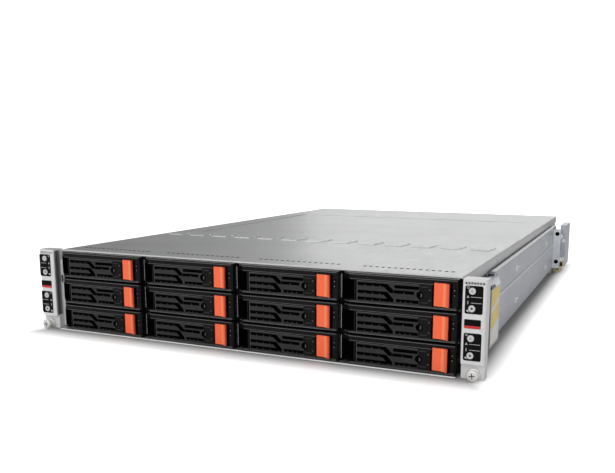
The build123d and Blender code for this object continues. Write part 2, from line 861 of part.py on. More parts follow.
bridge_inset = 20.0
bridge_size = 60.0
bridge_rear_gap = 97.0
bridge_height = 18.0
riser_inset = 10.2
riser_width = 68.0
riser_length = 131.0
riser_rear_gap = 6.0
port_block_width = 80.0
port_block_depth = 27.0
sled_left = bay_wall_outer + slide_gap
sled_right = wall_inner - slide_gap
sled_width = sled_right - sled_left


def make_sled():
    front = from_front(rear_bay_start)
    end = from_front(sled_end)
    panel = end - sled_sheet
    runner_top = sled_sheet + runner_height
    board_low = runner_top + board_gap
    board_top = board_low + board_thickness
    top = sled_height - part_headroom
    middle = sled_width / 2
    with BuildPart() as sled:
        block((0, sled_width), (front, end), (0, sled_height))
        inside = (sled_sheet, sled_width - sled_sheet)
        block(inside, (front, panel), (sled_sheet, sled_height), mode=Mode.SUBTRACT)
        for runner_x in (runner_inset, middle, sled_width - runner_inset):
            runner = (runner_x - runner_width / 2, runner_x + runner_width / 2)
            block(runner, (front, panel), (sled_sheet, runner_top))
        vent_centre = (sled_width - vent_opening_inset, sled_height - vent_opening_drop)
        first_port = (port_inset, port_centre_z)
        second_port = (port_inset + port_pitch, port_centre_z)
        data_port = (port_inset + 2 * port_pitch, port_centre_z)
        screen_port = (data_port[0] + screen_port_gap, port_centre_z)
        with BuildSketch(Plane.XZ.offset(-panel)):
            with Locations(vent_centre):
                Rectangle(vent_opening_width, vent_opening_height)
            with Locations(first_port, second_port):
                Rectangle(port_width, port_height)
            with Locations(data_port):
                Rectangle(data_port_width, data_port_height)
            with Locations(screen_port):
                Rectangle(screen_port_width, screen_port_height)
        extrude(amount=-sled_sheet, mode=Mode.SUBTRACT)
        handle_right = sled_width - sled_handle_inset
        handle_left = handle_right - sled_handle_width
        handle_rise = (sled_handle_z, sled_handle_z + sled_handle_bar)
        bar_y = end + sled_handle_reach
        block((handle_left, handle_left + sled_handle_bar), (end, bar_y), handle_rise)
        block((handle_right - sled_handle_bar, handle_right), (end, bar_y), handle_rise)
        block((handle_left, handle_right), (bar_y, bar_y + sled_handle_bar), handle_rise)
        board = (board_inset, sled_width - board_inset)
        block(board, (front, end - board_inset), (board_low, board_top))
        fan_run = (front + fan_setback, front + fan_setback + fan_depth)
        for fan in range(fans):
            fan_x = middle + (fan - (fans - 1) / 2) * fan_pitch
            block((fan_x - fan_size / 2, fan_x + fan_size / 2), fan_run, (board_top, top))
        mating = (mating_inset, sled_width - mating_inset)
        mating_run = (front + mating_setback, front + mating_setback + mating_depth)
        block(mating, mating_run, (board_top, board_top + mating_height))
        for processor in range(processors):
            centre_y = front + (processor + 1) * processor_pitch
            sink_run = (centre_y - sink_length / 2, centre_y + sink_length / 2)
            block((middle - sink_width / 2, middle + sink_width / 2), sink_run, (board_top, top))
            memory_run = (centre_y - memory_length / 2, centre_y + memory_length / 2)
            memory_rise = (board_top, top - memory_drop)
            block((memory_inset, memory_inset + memory_width), memory_run, memory_rise)
            far = sled_width - memory_inset
            block((far - memory_width, far), memory_run, memory_rise)
        bridge_y = end - bridge_rear_gap
        bridge_run = (bridge_y - bridge_size / 2, bridge_y + bridge_size / 2)
        bridge_rise = (board_top, board_top + bridge_height)
        block((bridge_inset, bridge_inset + bridge_size), bridge_run, bridge_rise)
        riser_right = sled_width - riser_inset
        riser_run = (end - riser_rear_gap - riser_length, end - riser_rear_gap)
        block((riser_right - riser_width, riser_right), riser_run, (board_top, top))
        ports = (mating_inset, mating_inset + port_block_width)
        ports_run = (panel - rest_gap - port_block_depth, panel - rest_gap)
        block(ports, ports_run, (board_top, board_top + mating_height))
    return sled.part


# Power supply: a closed box with a fan opening, a mains inlet and a handle.
fan_bore_inset = 21.0
fan_bore_radius = 16.5
fan_bore_depth = 4.0
fan_hub_radius = 6.0
fan_hub_setback = 1.0
inlet_inset = 6.0
inlet_width = 27.0
inlet_height = 20.0
inlet_z = 7.0
inlet_depth = 14.0
prong_pitch = 7.0
prong_width = 2.0
prong_height = 6.0
prong_length = 7.0
supply_handle_inset = 3.0
supply_handle_post = 3.0
supply_handle_reach = 18.0
supply_handle_z = 16.0
supply_handle_height = 8.0


def make_supply():
    half = supply_width / 2
    end = from_front(sled_end)
    middle_z = supply_height / 2
    fan_x = fan_bore_inset - half
    inlet_right = half - inlet_inset
    inlet_left = inlet_right - inlet_width
    inlet_y = end - inlet_depth
    inlet_middle = (inlet_left + inlet_right) / 2
    prong_z = inlet_z + (inlet_height - prong_height) / 2
    handle_left = supply_handle_inset - half
    handle_bar_y = end + supply_handle_reach
    handle_rise = (supply_handle_z, supply_handle_z + supply_handle_height)
    with BuildPart() as supply:
        block((-half, half), (end - supply_length, end), (0, supply_height))
        rod(fan_x, (end - fan_bore_depth, end), middle_z, fan_bore_radius, mode=Mode.SUBTRACT)
        rod(fan_x, (end - fan_bore_depth, end - fan_hub_setback), middle_z, fan_hub_radius)
        inlet_rise = (inlet_z, inlet_z + inlet_height)
        block((inlet_left, inlet_right), (inlet_y, end), inlet_rise, mode=Mode.SUBTRACT)
        for prong_x in (inlet_middle - prong_pitch, inlet_middle, inlet_middle + prong_pitch):
            prong = (prong_x - prong_width / 2, prong_x + prong_width / 2)
            block(prong, (inlet_y, inlet_y + prong_length), (prong_z, prong_z + prong_height))
        for post_x in (handle_left, inlet_left - supply_handle_post):
            block((post_x, post_x + supply_handle_post), (end, handle_bar_y), handle_rise)
        bar_run = (handle_bar_y, handle_bar_y + supply_handle_post)
        block((handle_left, inlet_left), bar_run, handle_rise)
    return supply.part


sled_shape = make_sled()
supply_shape = make_supply()
levels = {"lower": sheet + slide_gap, "upper": shelf_z + slide_gap}
for level, bottom in levels.items():
    save(sled_shape.moved(Location((sled_left, 0, bottom))), f"right_{level}_sled")
    save(sled_shape.moved(Location((-sled_right, 0, bottom))), f"left_{level}_sled")
    save(supply_shape.moved(Location((0, 0, bottom))), f"{level}_power_supply")
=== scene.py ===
import json
import math

import bmesh
import bpy
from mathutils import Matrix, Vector


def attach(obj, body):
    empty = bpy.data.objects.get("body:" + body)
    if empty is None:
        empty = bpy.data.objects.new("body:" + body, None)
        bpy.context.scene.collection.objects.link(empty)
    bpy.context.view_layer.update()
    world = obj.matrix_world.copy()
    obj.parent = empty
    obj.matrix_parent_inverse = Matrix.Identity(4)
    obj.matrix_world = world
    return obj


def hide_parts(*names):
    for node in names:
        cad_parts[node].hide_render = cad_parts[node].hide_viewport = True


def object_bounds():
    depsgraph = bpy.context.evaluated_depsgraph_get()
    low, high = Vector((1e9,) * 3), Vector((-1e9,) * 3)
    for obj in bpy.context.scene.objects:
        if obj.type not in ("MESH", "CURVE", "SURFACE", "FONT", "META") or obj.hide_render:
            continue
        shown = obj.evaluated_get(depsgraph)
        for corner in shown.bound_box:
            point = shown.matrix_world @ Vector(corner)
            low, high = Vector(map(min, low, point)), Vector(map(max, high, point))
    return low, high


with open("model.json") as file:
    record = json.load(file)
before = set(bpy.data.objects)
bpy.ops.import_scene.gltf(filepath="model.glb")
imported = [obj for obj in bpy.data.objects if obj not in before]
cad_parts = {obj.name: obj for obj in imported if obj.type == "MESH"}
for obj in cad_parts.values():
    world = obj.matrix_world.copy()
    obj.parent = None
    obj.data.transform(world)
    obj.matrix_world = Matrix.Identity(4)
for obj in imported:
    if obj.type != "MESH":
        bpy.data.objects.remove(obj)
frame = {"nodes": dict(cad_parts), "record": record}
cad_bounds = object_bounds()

# The server is drawn in its CAD frame: metres, X right seen from the front,
# Y towards the rear, Z up. Lengths below are millimetres and are multiplied
# by MM. FRONT is the front edge of the chassis sheet.
MM = 0.001
FRONT = -350.0

nodes = frame["nodes"]
scene = bpy.context.scene


# Materials

class Graph:
    """Short calls for the nodes of a shader tree."""

    def __init__(self, tree):
        self.tree = tree

    def feed(self, node, inputs):
        """Gives each input named in a dict a constant or a link."""
        for key, value in inputs.items():
            if isinstance(value, bpy.types.NodeSocket):
                self.tree.links.new(value, node.inputs[key])
            else:
                node.inputs[key].default_value = value
        return node

    def node(self, kind, inputs, **settings):
        made = self.tree.nodes.new("ShaderNode" + kind)
        for key, value in settings.items():
            setattr(made, key, value)
        return self.feed(made, inputs)

    def math(self, operation, *values, vector=None):
        """Result of a Math node, or the named one of a VectorMath node."""
        kind = "VectorMath" if vector else "Math"
        made = self.node(kind, dict(enumerate(values)), operation=operation)
        return made.outputs[vector or "Value"]

    def part(self, vector, axis):
        return self.node("SeparateXYZ", {0: vector}).outputs[axis]

    def spread(self, value, low, high, from_low=0.3, from_high=0.7):
        """The value mapped from one range to another."""
        inputs = {"From Min": from_low, "From Max": from_high, "To Min": low, "To Max": high}
        return self.node("MapRange", {**inputs, "Value": value}).outputs["Result"]

    def blend(self, factor, first, second):
        """Colour between two colours or sockets, by a factor socket."""
        inputs = {"Factor": factor}
        for key, colour in (("A", first), ("B", second)):
            inputs[key] = (*colour, 1.0) if isinstance(colour, tuple) else colour
        return self.node("Mix", inputs, data_type="RGBA").outputs["Result"]


class Shader(Graph):
    """A Principled material with short calls for the nodes that feed it."""

    def __init__(self, name, colour, roughness, metallic=0.0, specular=0.5, coat=0.0):
        self.material = bpy.data.materials.new(name)
        self.material.use_nodes = True
        super().__init__(self.material.node_tree)
        self.main = self.tree.nodes["Principled BSDF"]
        self.surface({"Base Color": (*colour, 1.0), "Roughness": roughness, "Metallic": metallic,
                        "Specular IOR Level": specular, "Coat Weight": coat})
        self.coords = self.node("TexCoord", {}).outputs["Object"]

    def surface(self, inputs):
        """Feeds inputs of the Principled shader."""
        self.feed(self.main, inputs)

    def stretched(self, *scale):
        """Coordinates scaled differently along each axis."""
        return self.node("Mapping", {"Scale": scale, "Vector": self.coords}).outputs["Vector"]

    def noise(self, scale, detail=2.0, vector=None, roughness=0.5):
        """Noise value, with about scale features per metre."""
        inputs = {"Scale": scale, "Detail": detail, "Roughness": roughness}
        return self.node("TexNoise", {**inputs, "Vector": vector or self.coords}).outputs["Fac"]

    def bump(self, height, strength, depth):
        """Raises the surface by a height socket; depth is in millimetres."""
        inputs = {"Strength": strength, "Distance": depth * MM, "Height": height}
        for link in self.main.inputs["Normal"].links:
            inputs["Normal"] = link.from_socket
        self.surface({"Normal": self.node("Bump", inputs).outputs["Normal"]})


def shade(colour, factor):
    """A colour made lighter or darker."""
    return tuple(min(1.0, part * factor) for part in colour)


def zinc_sheet(name, colour, roughness, grain_axes, metallic=0.85):
    """Satin zinc plated steel: faint clouding, rolling grain and fine speckle."""
    shader = Shader(name, colour, roughness, metallic=metallic)
    clouds = shader.noise(14.0, 3.0)
    grain = shader.noise(60.0, 3.0, shader.stretched(*grain_axes))
    speckle = shader.noise(1400.0)
    cloudy = shader.blend(shader.spread(clouds, 0, 1), shade(colour, 0.94), shade(colour, 1.04))
    spotted = shader.blend(shader.spread(speckle, 0, 0.35), cloudy, shade(colour, 0.82))
    finish = shader.spread(grain, roughness - 0.05, roughness + 0.07)
    shader.surface({"Base Color": spotted, "Roughness": finish})
    shader.bump(grain, 0.12, 0.05)
    shader.bump(speckle, 0.10, 0.03)
    return shader.material


def moulded_plastic(name, colour, roughness, specular=0.5, scuffs=0.25, texture=900.0, band=None):
    """Moulded plastic with a spark-eroded grain and light handling scuffs. A
    band is a painted highlight: the paler colour on the faces where a flare
    starts to lean to the left."""
    shader = Shader(name, colour, roughness, specular=specular)
    grain = shader.noise(texture)
    wear = shader.noise(45.0, 4.0, roughness=0.65)
    wear_and_highlight = shader.spread(wear, 0, 1, 0.45, 0.75)
    skin = shader.blend(wear_and_highlight, colour, shade(colour, 1 + scuffs))
    if band:
        # Painted highlight: the band colour where the normal turns to the left
        lean = shader.part(shader.node("NewGeometry", {}).outputs["Normal"], "X")
        start = shader.spread(lean, 0.0, 1.0, -0.06, -0.22)
        end = shader.spread(lean, 1.0, 0.25, -0.42, -0.68)
        skin = shader.blend(shader.math("MULTIPLY", start, end), skin, band)
    finish = shader.spread(wear, roughness - 0.05, roughness + 0.09)
    shader.surface({"Base Color": skin, "Roughness": finish})
    shader.bump(grain, 0.25, 0.05)
    return shader.material


def painted(name, colour, roughness, specular=0.5, coat=0.15):
    """Thin paint over metal, with a slight orange peel."""
    shader = Shader(name, colour, roughness, specular=specular, coat=coat)
    peel = shader.noise(420.0)
    dust = shader.noise(60.0, 4.0)
    dusty = shader.blend(shader.spread(dust, 0, 1), colour, shade(colour, 0.965))
    finish = shader.spread(dust, roughness - 0.03, roughness + 0.06)
    shader.surface({"Base Color": dusty, "Roughness": finish})
    shader.bump(peel, 0.10, 0.05)
    return shader.material


def inner_ear(name):
    """Bare inner side of an ear, darker away from its front edge: a painted
    highlight at the edge and painted shade behind it, a little lighter further back.
    """
    shader = Shader(name, (0.1, 0.1, 0.105), 0.40, metallic=0.3)
    along = shader.part(shader.coords, "Y")
    edge = shader.spread(along, 0.0, 1.0, -0.3598, -0.3570)
    back = shader.spread(along, 0.0, 1.0, -0.3565, -0.3525)
    dark = shader.blend(back, (0.085, 0.085, 0.088), (0.26, 0.26, 0.265))
    shader.surface({"Base Color": shader.blend(edge, (0.46, 0.46, 0.47), dark)})
    shader.bump(shader.noise(900.0), 0.15, 0.04)
    return shader.material


along_y = (12.0, 0.6, 12.0)
along_x = (0.6, 12.0, 12.0)

# Rows follow the arguments of the function that makes the material
metals = (
    ("cover_steel", (0.66, 0.665, 0.67), 0.38, along_y),
    ("chassis_steel", (0.52, 0.53, 0.55), 0.36, along_y),
    ("cage_steel", (0.42, 0.43, 0.44), 0.42, along_y),
    ("rail_steel", (0.55, 0.575, 0.62), 0.34, along_y),
    ("rail_light", (0.78, 0.80, 0.84), 0.36, along_y, 0.5),
    ("sled_steel", (0.52, 0.53, 0.54), 0.36, along_x),
    ("supply_steel", (0.45, 0.46, 0.47), 0.38, along_x),
    ("screw_nickel", (0.80, 0.79, 0.77), 0.34, along_y, 0.45),
    ("dark_steel", (0.09, 0.09, 0.095), 0.35, along_x),
    ("drive_aluminium", (0.50, 0.51, 0.52), 0.42, along_x),
    ("edge_bright", (0.92, 0.92, 0.92), 0.42, along_y, 0.15),
    ("contact_gold", (0.80, 0.56, 0.20), 0.30, along_x),
)
plastics = (
    ("tray_black", (0.005, 0.005, 0.0055), 0.24, 0.14),
    ("lever_black", (0.027, 0.027, 0.0275), 0.36, 0.20),
    # The last colour of the latch is a painted highlight on its flare
    ("latch_orange", (1.0, 0.122, 0.040), 0.34, 0.5, 0.0, 900.0, (1.0, 0.28, 0.12)),
    ("button_white", (0.60, 0.61, 0.62), 0.28, 0.5, 0.04),
    ("void_black", (0.001, 0.001, 0.001), 0.60, 0.0, 0.1),
    # Lighter grey for painted highlights on the edges of bezels and levers
    ("bar_black", (0.085, 0.085, 0.087), 0.30, 0.4),
    ("matte_black", (0.0065, 0.0065, 0.007), 0.55, 0.10, 0.25, 1500.0),
    ("lens_clear", (0.10, 0.105, 0.11), 0.20, 0.5, 0.03),
    # Paler grey for the painted highlight on the right half of a lock barrel
    ("barrel_grey", (0.052, 0.052, 0.054), 0.30, 0.5, 0.3),
    ("insert_blue", (0.012, 0.030, 0.12), 0.40),
    ("lens_green", (0.10, 0.42, 0.16), 0.22, 0.5, 0.05),
)
paints = (
    ("ear_paint", (0.72, 0.72, 0.72), 0.36),
    ("board_green", (0.015, 0.085, 0.035), 0.32),
    ("film_black", (0.004, 0.004, 0.0045), 0.30, 0.08, 0.0),
    ("print_white", (0.62, 0.62, 0.62), 0.40),
    ("mark_grey", (0.055, 0.055, 0.06), 0.35),
    ("badge_red", (0.62, 0.015, 0.02), 0.30),
    ("recess_brown", (0.075, 0.045, 0.03), 0.45),
    ("label_yellow", (0.86, 0.62, 0.10), 0.42),
    ("label_white", (0.78, 0.78, 0.76), 0.42),
    ("tab_cream", (0.74, 0.62, 0.36), 0.40),
)
materials = {"ear_shade": inner_ear("ear_shade")}
for make, rows in ((zinc_sheet, metals), (moulded_plastic, plastics), (painted, paints)):
    for row in rows:
        materials[row[0]] = make(*row)

# Slots of the CAD nodes whose material has another name
SLOT_MATERIALS = {
    "ear_metal": "ear_paint",
    "tray_plastic": "tray_black",
    "lever_plastic": "lever_black",
    "latch_plastic": "latch_orange",
    "button_plastic": "button_white",
    "screw_metal": "screw_nickel",
}
for subpart in frame["record"]["subparts"]:
    wanted = subpart["material_slot"]
    for slot in nodes[subpart["node"]].material_slots:
        slot.material = materials[SLOT_MATERIALS.get(wanted, wanted)]


# Mesh building, in millimetres

def polar(centre, radius, angle):
    """Point at a distance and angle from a centre."""
    return centre[0] + radius * math.cos(angle), centre[1] + radius * math.sin(angle)


class Piece:
    """A mesh under construction; place() turns it into objects on bodies."""

    def __init__(self):
        self.mesh = bmesh.new()

    def ring(self, outline, axis, level):
        """Vertices of an outline, given in the two other axes in X, Y, Z order."""
        made = []
        for pair in outline:
            point = list(pair)
            point.insert(axis, level)
            made.append(self.mesh.verts.new(point))
        return made

    def sheet(self, outlines, axis, low, high):
        """Plate across an axis: the first outline is its edge, the others are
        holes."""
        edges = []
        for outline in outlines:
            ring = self.ring(outline, axis, low)
            for start, end in zip(ring, ring[1:] + ring[:1]):
                edges.append(self.mesh.edges.new((start, end)))
        filled = bmesh.ops.triangle_fill(self.mesh, edges=edges, use_beauty=True)["geom"]
        faces = [part for part in filled if isinstance(part, bmesh.types.BMFace)]
        grown = bmesh.ops.extrude_face_region(self.mesh, geom=faces, use_keep_orig=True)["geom"]
        lift = [0.0, 0.0, 0.0]
        lift[axis] = high - low
        moved = [part for part in grown if isinstance(part, bmesh.types.BMVert)]
        bmesh.ops.translate(self.mesh, vec=lift, verts=moved)

    def prism(self, outline, axis, low, high):
        """Solid with the same outline at both ends of a span."""
        ends = [self.ring(outline, axis, level) for level in (low, high)]
        for end in ends:
            self.mesh.faces.new(end)
        self.join(*ends)

    def join(self, first, second):
        """Faces between two rings of vertices."""
        count = len(first)
        for step in range(count):
            after = (step + 1) % count
            self.mesh.faces.new((first[step], first[after], second[after], second[step]))

    def box(self, x, y, z):
        self.prism([(x[0], y[0]), (x[1], y[0]), (x[1], y[1]), (x[0], y[1])], 2, *z)

    def turned(self, profile, centre, axis, segments=32, flutes=0, depth=0.0):
        """Solid of revolution from (distance along the axis, radius) pairs.
        Flutes cut shallow grooves of that depth round the larger radii."""
        rings = []
        widest = max(radius for along, radius in profile)
        aside = Vector(centre)
        aside[axis] = 0.0
        for along, radius in profile:
            ring = []
            for step in range(segments):
                turn = 2 * math.pi * step / segments
                size = radius
                if flutes and radius > 0.97 * widest and (step * flutes * 2 // segments) % 2:
                    size = radius - depth
                point = [size * math.cos(turn), size * math.sin(turn)]
                point.insert(axis, centre[axis] + along)
                ring.append(self.mesh.verts.new(Vector(point) + aside))
            rings.append(ring)
        self.mesh.faces.new(rings[0])
        self.mesh.faces.new(rings[-1])
        for first, second in zip(rings, rings[1:]):
            self.join(first, second)

    def place(self, name, material, slot, seats, bevel=0.0, sharp=35.0):
        """Makes one object for each (suffix, body, offset in millimetres)."""
        bmesh.ops.recalc_face_normals(self.mesh, faces=self.mesh.faces)
        bmesh.ops.scale(self.mesh, vec=(MM, MM, MM), verts=self.mesh.verts)
        data = bpy.data.meshes.new(name)
        self.mesh.to_mesh(data)
        self.mesh.free()
        data.materials.append(materials[material])
        data.shade_smooth()
        data.set_sharp_from_angle(angle=math.radians(sharp))
        made = []
        for suffix, body, offset in seats:
            piece = bpy.data.objects.new(name + suffix, data)
            piece.location = Vector(offset) * MM
            scene.collection.objects.link(piece)
            if bevel:
                round_edges(piece, bevel)
            bpy.context.view_layer.update()
            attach(piece, body)
            made.append(piece)
        return made


def round_edges(piece, width):
    """Rounds the sharp edges of a piece by a width in millimetres."""
    bevel = piece.modifiers.new("rounding", "BEVEL")
    bevel.width = width * MM
    bevel.segments = 2
    bevel.limit_method = "ANGLE"
    bevel.angle_limit = math.radians(35)
    bevel.harden_normals = True


def on(body):
    """The one seat of a piece that is drawn where it belongs."""
    return [("", body, (0, 0, 0))]


def mirrored(sign, inner, outer):
    """Span between two distances from the middle, on the side of the sign."""
    return sorted((sign * inner, sign * outer))


def rounded(centre, width, height, radius, steps=5):
    """Outline of a rectangle with rounded corners."""
    points = []
    for corner in range(4):
        across = (1 if corner in (0, 3) else -1) * (width / 2 - radius)
        up = (1 if corner in (0, 1) else -1) * (height / 2 - radius)
        middle = (centre[0] + across, centre[1] + up)
        for step in range(steps + 1):
            points.append(polar(middle, radius, corner * math.pi / 2 + step / steps * math.pi / 2))
    return points


def arc_centre(first, second, third):
    """Centre of the circle through three points."""
    (ax, ay), (bx, by), (cx, cy) = first, second, third
    base = 2 * (ax * (by - cy) + bx * (cy - ay) + cx * (ay - by))
    a2, b2, c2 = ax * ax + ay * ay, bx * bx + by * by, cx * cx + cy * cy
    x = (a2 * (by - cy) + b2 * (cy - ay) + c2 * (ay - by)) / base
    y = (a2 * (cx - bx) + b2 * (ax - cx) + c2 * (bx - ax)) / base
    return x, y


def circle(centre, radius, steps=24):
    return [polar(centre, radius, 2 * math.pi * step / steps) for step in range(steps)]


def annulus(centre, radius, width, steps=24):
    """Outlines of a flat ring."""
    return [circle(centre, radius, steps), circle(centre, radius - width, steps)]


# Details of the drive trays. Widths run from the left edge of a tray's cell
# and heights from its middle, as in the photograph.

COLUMN_PITCH = 109.0
FIRST_COLUMN = -218.0
ROWS = {"top": 71.9, "middle": 43.7, "bottom": 15.5}
TRAY_FACE = FRONT - 10.0
LEVER_LOW = -10.7
LEVER_HIGH = 7.3
LOCK = (75.6, -1.9)
LIGHT_PIPES = 105.2


def cell_seats(kind):
    """One seat for each drive bay, on its tray, lever or latch."""
    seats = []
    for row, height in ROWS.items():
        for column in range(4):
            offset = (FIRST_COLUMN + column * COLUMN_PITCH, 0.0, height)
            seats.append((f"_{row}_{column + 1}", f"{kind}_{row}_{column + 1}", offset))
    return seats


tray_seats = cell_seats("tray")
lever_seats = cell_seats("lever")

# Two indicator wells beside the latch, each with a pale light pipe
wells = Piece()
pipes = Piece()
for height in (4.9, 0.4):
    rim = [(0.2, 1.45), (-0.12, 1.45), (-0.12, 1.25), (-0.02, 1.15)]
    wells.turned(rim, (LIGHT_PIPES, TRAY_FACE, height), 1, 20)
    dome = [(0.0, 0.72), (-0.22, 0.66), (-0.36, 0.42), (-0.40, 0.12)]
    pipes.turned(dome, (LIGHT_PIPES, TRAY_FACE, height - 0.45), 1, 14)
wells.place("indicator_well", "void_black", "tray_plastic", tray_seats)
pipes.place("light_pipe", "lens_clear", "tray_plastic", tray_seats)

# Painted highlights on the bars along the upper and lower edge of each bezel,
# bent along its nose, and on thin lips above and below the opening for the lever
bars = Piece()
lips = Piece()
bar_line = [
    (0.75, FRONT - 1.0), (5.25, FRONT - 6.05), (11.0, TRAY_FACE - 0.15),
    (107.2, TRAY_FACE - 0.15), (107.2, TRAY_FACE + 0.4), (11.2, TRAY_FACE + 0.4),
    (5.5, FRONT - 5.7), (0.95, FRONT - 0.8),
]
bars.prism(bar_line, 2, 12.05, 12.75)
bars.prism(bar_line, 2, -12.75, -11.9)
lip_depth = (TRAY_FACE - 0.10, TRAY_FACE + 0.1)
lips.box((11.3, 87.3), lip_depth, (8.1, 8.55))
lips.box((11.3, 107.0), lip_depth, (-11.45, -11.1))
bars.place("bezel_bar", "bar_black", "tray_plastic", tray_seats, bevel=0.12)
lips.place("bezel_lip", "bar_black", "tray_plastic", tray_seats)

# Finger grip: the arc of its hollow face through three points, a skin of
# painted shade over its depth and the pocket floor, and a painted gleam near its tip
GRIP_ARC = ((4.0, -352.0), (12.194, -354.4), (15.494, -359.7))
GRIP_HEIGHT = (-10.95, 7.55)
GRIP_STEPS = 8
grip_centre = arc_centre(*GRIP_ARC)
offsets = [(x - grip_centre[0], y - grip_centre[1]) for x, y in GRIP_ARC]
grip_radius = math.hypot(*offsets[0])
grip_first = math.atan2(offsets[0][1], offsets[0][0])
grip_last = math.atan2(offsets[2][1], offsets[2][0])


def grip_skin(start, end):
    """Thin skin over part of the grip, given in shares of its arc."""
    sides = ([], [])
    for step in range(GRIP_STEPS + 1):
        share = start + (end - start) * step / GRIP_STEPS
        turn = grip_first + (grip_last - grip_first) * share
        for side, depth in zip(sides, (0.16, 0.04)):
            side.append(polar(grip_centre, grip_radius - depth, turn))
    skin = Piece()
    skin.prism(sides[0] + sides[1][::-1], 2, *GRIP_HEIGHT)
    return skin


grip_shade = grip_skin(0.0, 0.70)
grip_shade.box((0.9, 4.4), (FRONT - 2.2, FRONT - 2.02), GRIP_HEIGHT)
grip_shade.place("grip_shade", "void_black", "tray_plastic", tray_seats)
grip_skin(0.86, 0.99).place("grip_gleam", "lever_black", "tray_plastic", tray_seats)

# Fine ribs that stand across the air slots of the lever
ribs = Piece()
rib_rows = {
    4.3: (25.3, 32.5, 39.4),
    -2.7: (25.3, 32.3, 39.2),
    -8.7: (25.3, 32.3, 39.4),
    -0.6: (61.2,),
    -8.3: (58.2, 62.8, 67.6),
}
for height, places in rib_rows.items():
    for across in places:
        rib_height = (height - 1.40, height - 0.1)
        ribs.box((across - 0.45, across + 0.45), (TRAY_FACE - 0.05, TRAY_FACE + 1.6), rib_height)
ribs.place("slot_rib", "lever_black", "lever_plastic", lever_seats)

# Dark space seen in the slots, (left, right, height) each, and in the two
# slanted cuts, (upper end, lower end, left edge) each
SLOTS = (
    (18.4, 46.0, 4.3), (18.4, 46.2, -2.7), (18.4, 47.5, -8.7),
    (52.6, 74.4, 3.9), (52.0, 70.2, -0.6), (54.2, 74.3, -8.3),
)
shadow = Piece()
shadow_depth = (TRAY_FACE - 0.03, TRAY_FACE + 0.2)
for low, high, height in SLOTS:
    shadow.box((low - 0.1, high + 0.1), shadow_depth, (height - 1.4, height + 1.4))
for top, bottom, left in ((5.6, -1.9, 46.0), (-1.4, -10.0, 46.2)):
    slant = [
        (left - 3.3, top), (left, top), (left + 5.6, bottom + 2.6),
        (left + 5.6, bottom), (left + 2.3, bottom), (left - 3.3, top - 2.6),
    ]
    shadow.prism(slant, 1, *shadow_depth)
shadow.place("slot_shadow", "void_black", "lever_plastic", lever_seats)

# Painted highlight along the left and upper edge of the lever
wear_and_highlight = Piece()
edge_highlight_depth = (TRAY_FACE - 0.05, TRAY_FACE + 0.1)
wear_and_highlight.box((17.7, 18.15), edge_highlight_depth, (LEVER_LOW + 0.5, LEVER_HIGH - 0.4))
wear_and_highlight.box((18.2, 74.0), edge_highlight_depth, (LEVER_HIGH - 0.55, LEVER_HIGH - 0.2))
wear_and_highlight.place("lever_edge_highlight", "bar_black", "lever_plastic", lever_seats)

# Matte end plate of the lever with two narrow grooves and two screws
outlines = [rounded((80.2, -1.7), 10.7, 17.6, 0.6)]
for height in (5.5, -8.2):
    outlines.append(rounded((79.4, height), 7.0, 1.1, 0.5))
plate = Piece()
plate.sheet(outlines, 1, TRAY_FACE - 0.28, TRAY_FACE)
plate.place("lever_end_plate", "matte_black", "lever_plastic", lever_seats, bevel=0.12)

screws = Piece()
for height in (3.2, -5.9):
    screws.turned([(-0.28, 0.85), (-0.52, 0.78), (-0.58, 0.5)], (84.0, TRAY_FACE, height), 1, 14)
screws.place("lever_screw", "dark_steel", "screw_metal", lever_seats)

# Lock of the lever: a dark collar with a black disc of painted shade on the
# left, and a painted highlight on the right half of its barrel
collar = Piece()
profile = [(-0.05, 3.2), (-0.42, 3.15), (-0.5, 2.9), (-0.5, 2.5), (-0.30, 2.3)]
collar.turned(profile, (LOCK[0], TRAY_FACE, LOCK[1]), 1)
collar.prism(circle(LOCK, 2.5, 28), 1, TRAY_FACE - 0.40, TRAY_FACE - 0.2)
collar.place("lock_collar", "void_black", "lever_plastic", lever_seats)
barrel = Piece()
half = [polar(LOCK, 2.05, math.radians(-76 + step * 152 / 16)) for step in range(17)]
barrel.prism(half, 1, TRAY_FACE - 0.52, TRAY_FACE - 0.2)
barrel.place("lock_barrel", "barrel_grey", "screw_metal", lever_seats, bevel=0.1)

# Black sheet of painted shade over the right side of the latch stem
stem_shade = Piece()
stem_shade.box((97.95, 98.25), (TRAY_FACE + 2.15, TRAY_FACE + 7.65), (-6.1, 6.1))
stem_shade.place("latch_stem_shade", "void_black", "latch_plastic", cell_seats("latch"))

# Lid, circuit board and rear plug of the drive in each tray
lid = Piece()
lid.prism(rounded((54.5, FRONT + 76.5), 100.6, 145.6, 3.0), 2, 13.05, 13.25)
lid.prism(rounded((54.5, FRONT + 70.0), 86.0, 112.0, 10.0), 2, 13.25, 13.45)
lid.place("drive_lid", "drive_aluminium", "cage_steel", tray_seats, bevel=0.08)
board = Piece()
board.prism(rounded((54.5, FRONT + 96.0), 96.0, 100.0, 2.0), 2, -13.3, -13.05)
board.place("drive_board", "board_green", "cage_steel", tray_seats)
plug = Piece()
plug.box((40.0, 69.0), (FRONT + 149.9, FRONT + 151.6), (-9.5, -2.5))
plug.place("drive_plug", "void_black", "tray_plastic", tray_seats, bevel=0.2)


# Details of the ears: film panels, blank badge, buttons and thumbscrews

EAR_FACE = FRONT - 10.85
PANELS = {"upper": 69.8, "lower": 29.6}
BUTTONS = {"power": 7.4, "reset": -7.4}
RACK_SCREW = 232.55
SIGNS = {"right": 1, "left": -1}
# Distances from the middle of the server
EARS = {
    "right": {
        "film": 230.9, "icons": 225.9, "button": 229.4, "lines": (228.4, 237.3), "badge": 230.4,
    },
    "left": {
        "film": 233.3, "icons": 227.8, "button": 233.5, "lines": (231.6, 239.4), "badge": 233.0,
    },
}

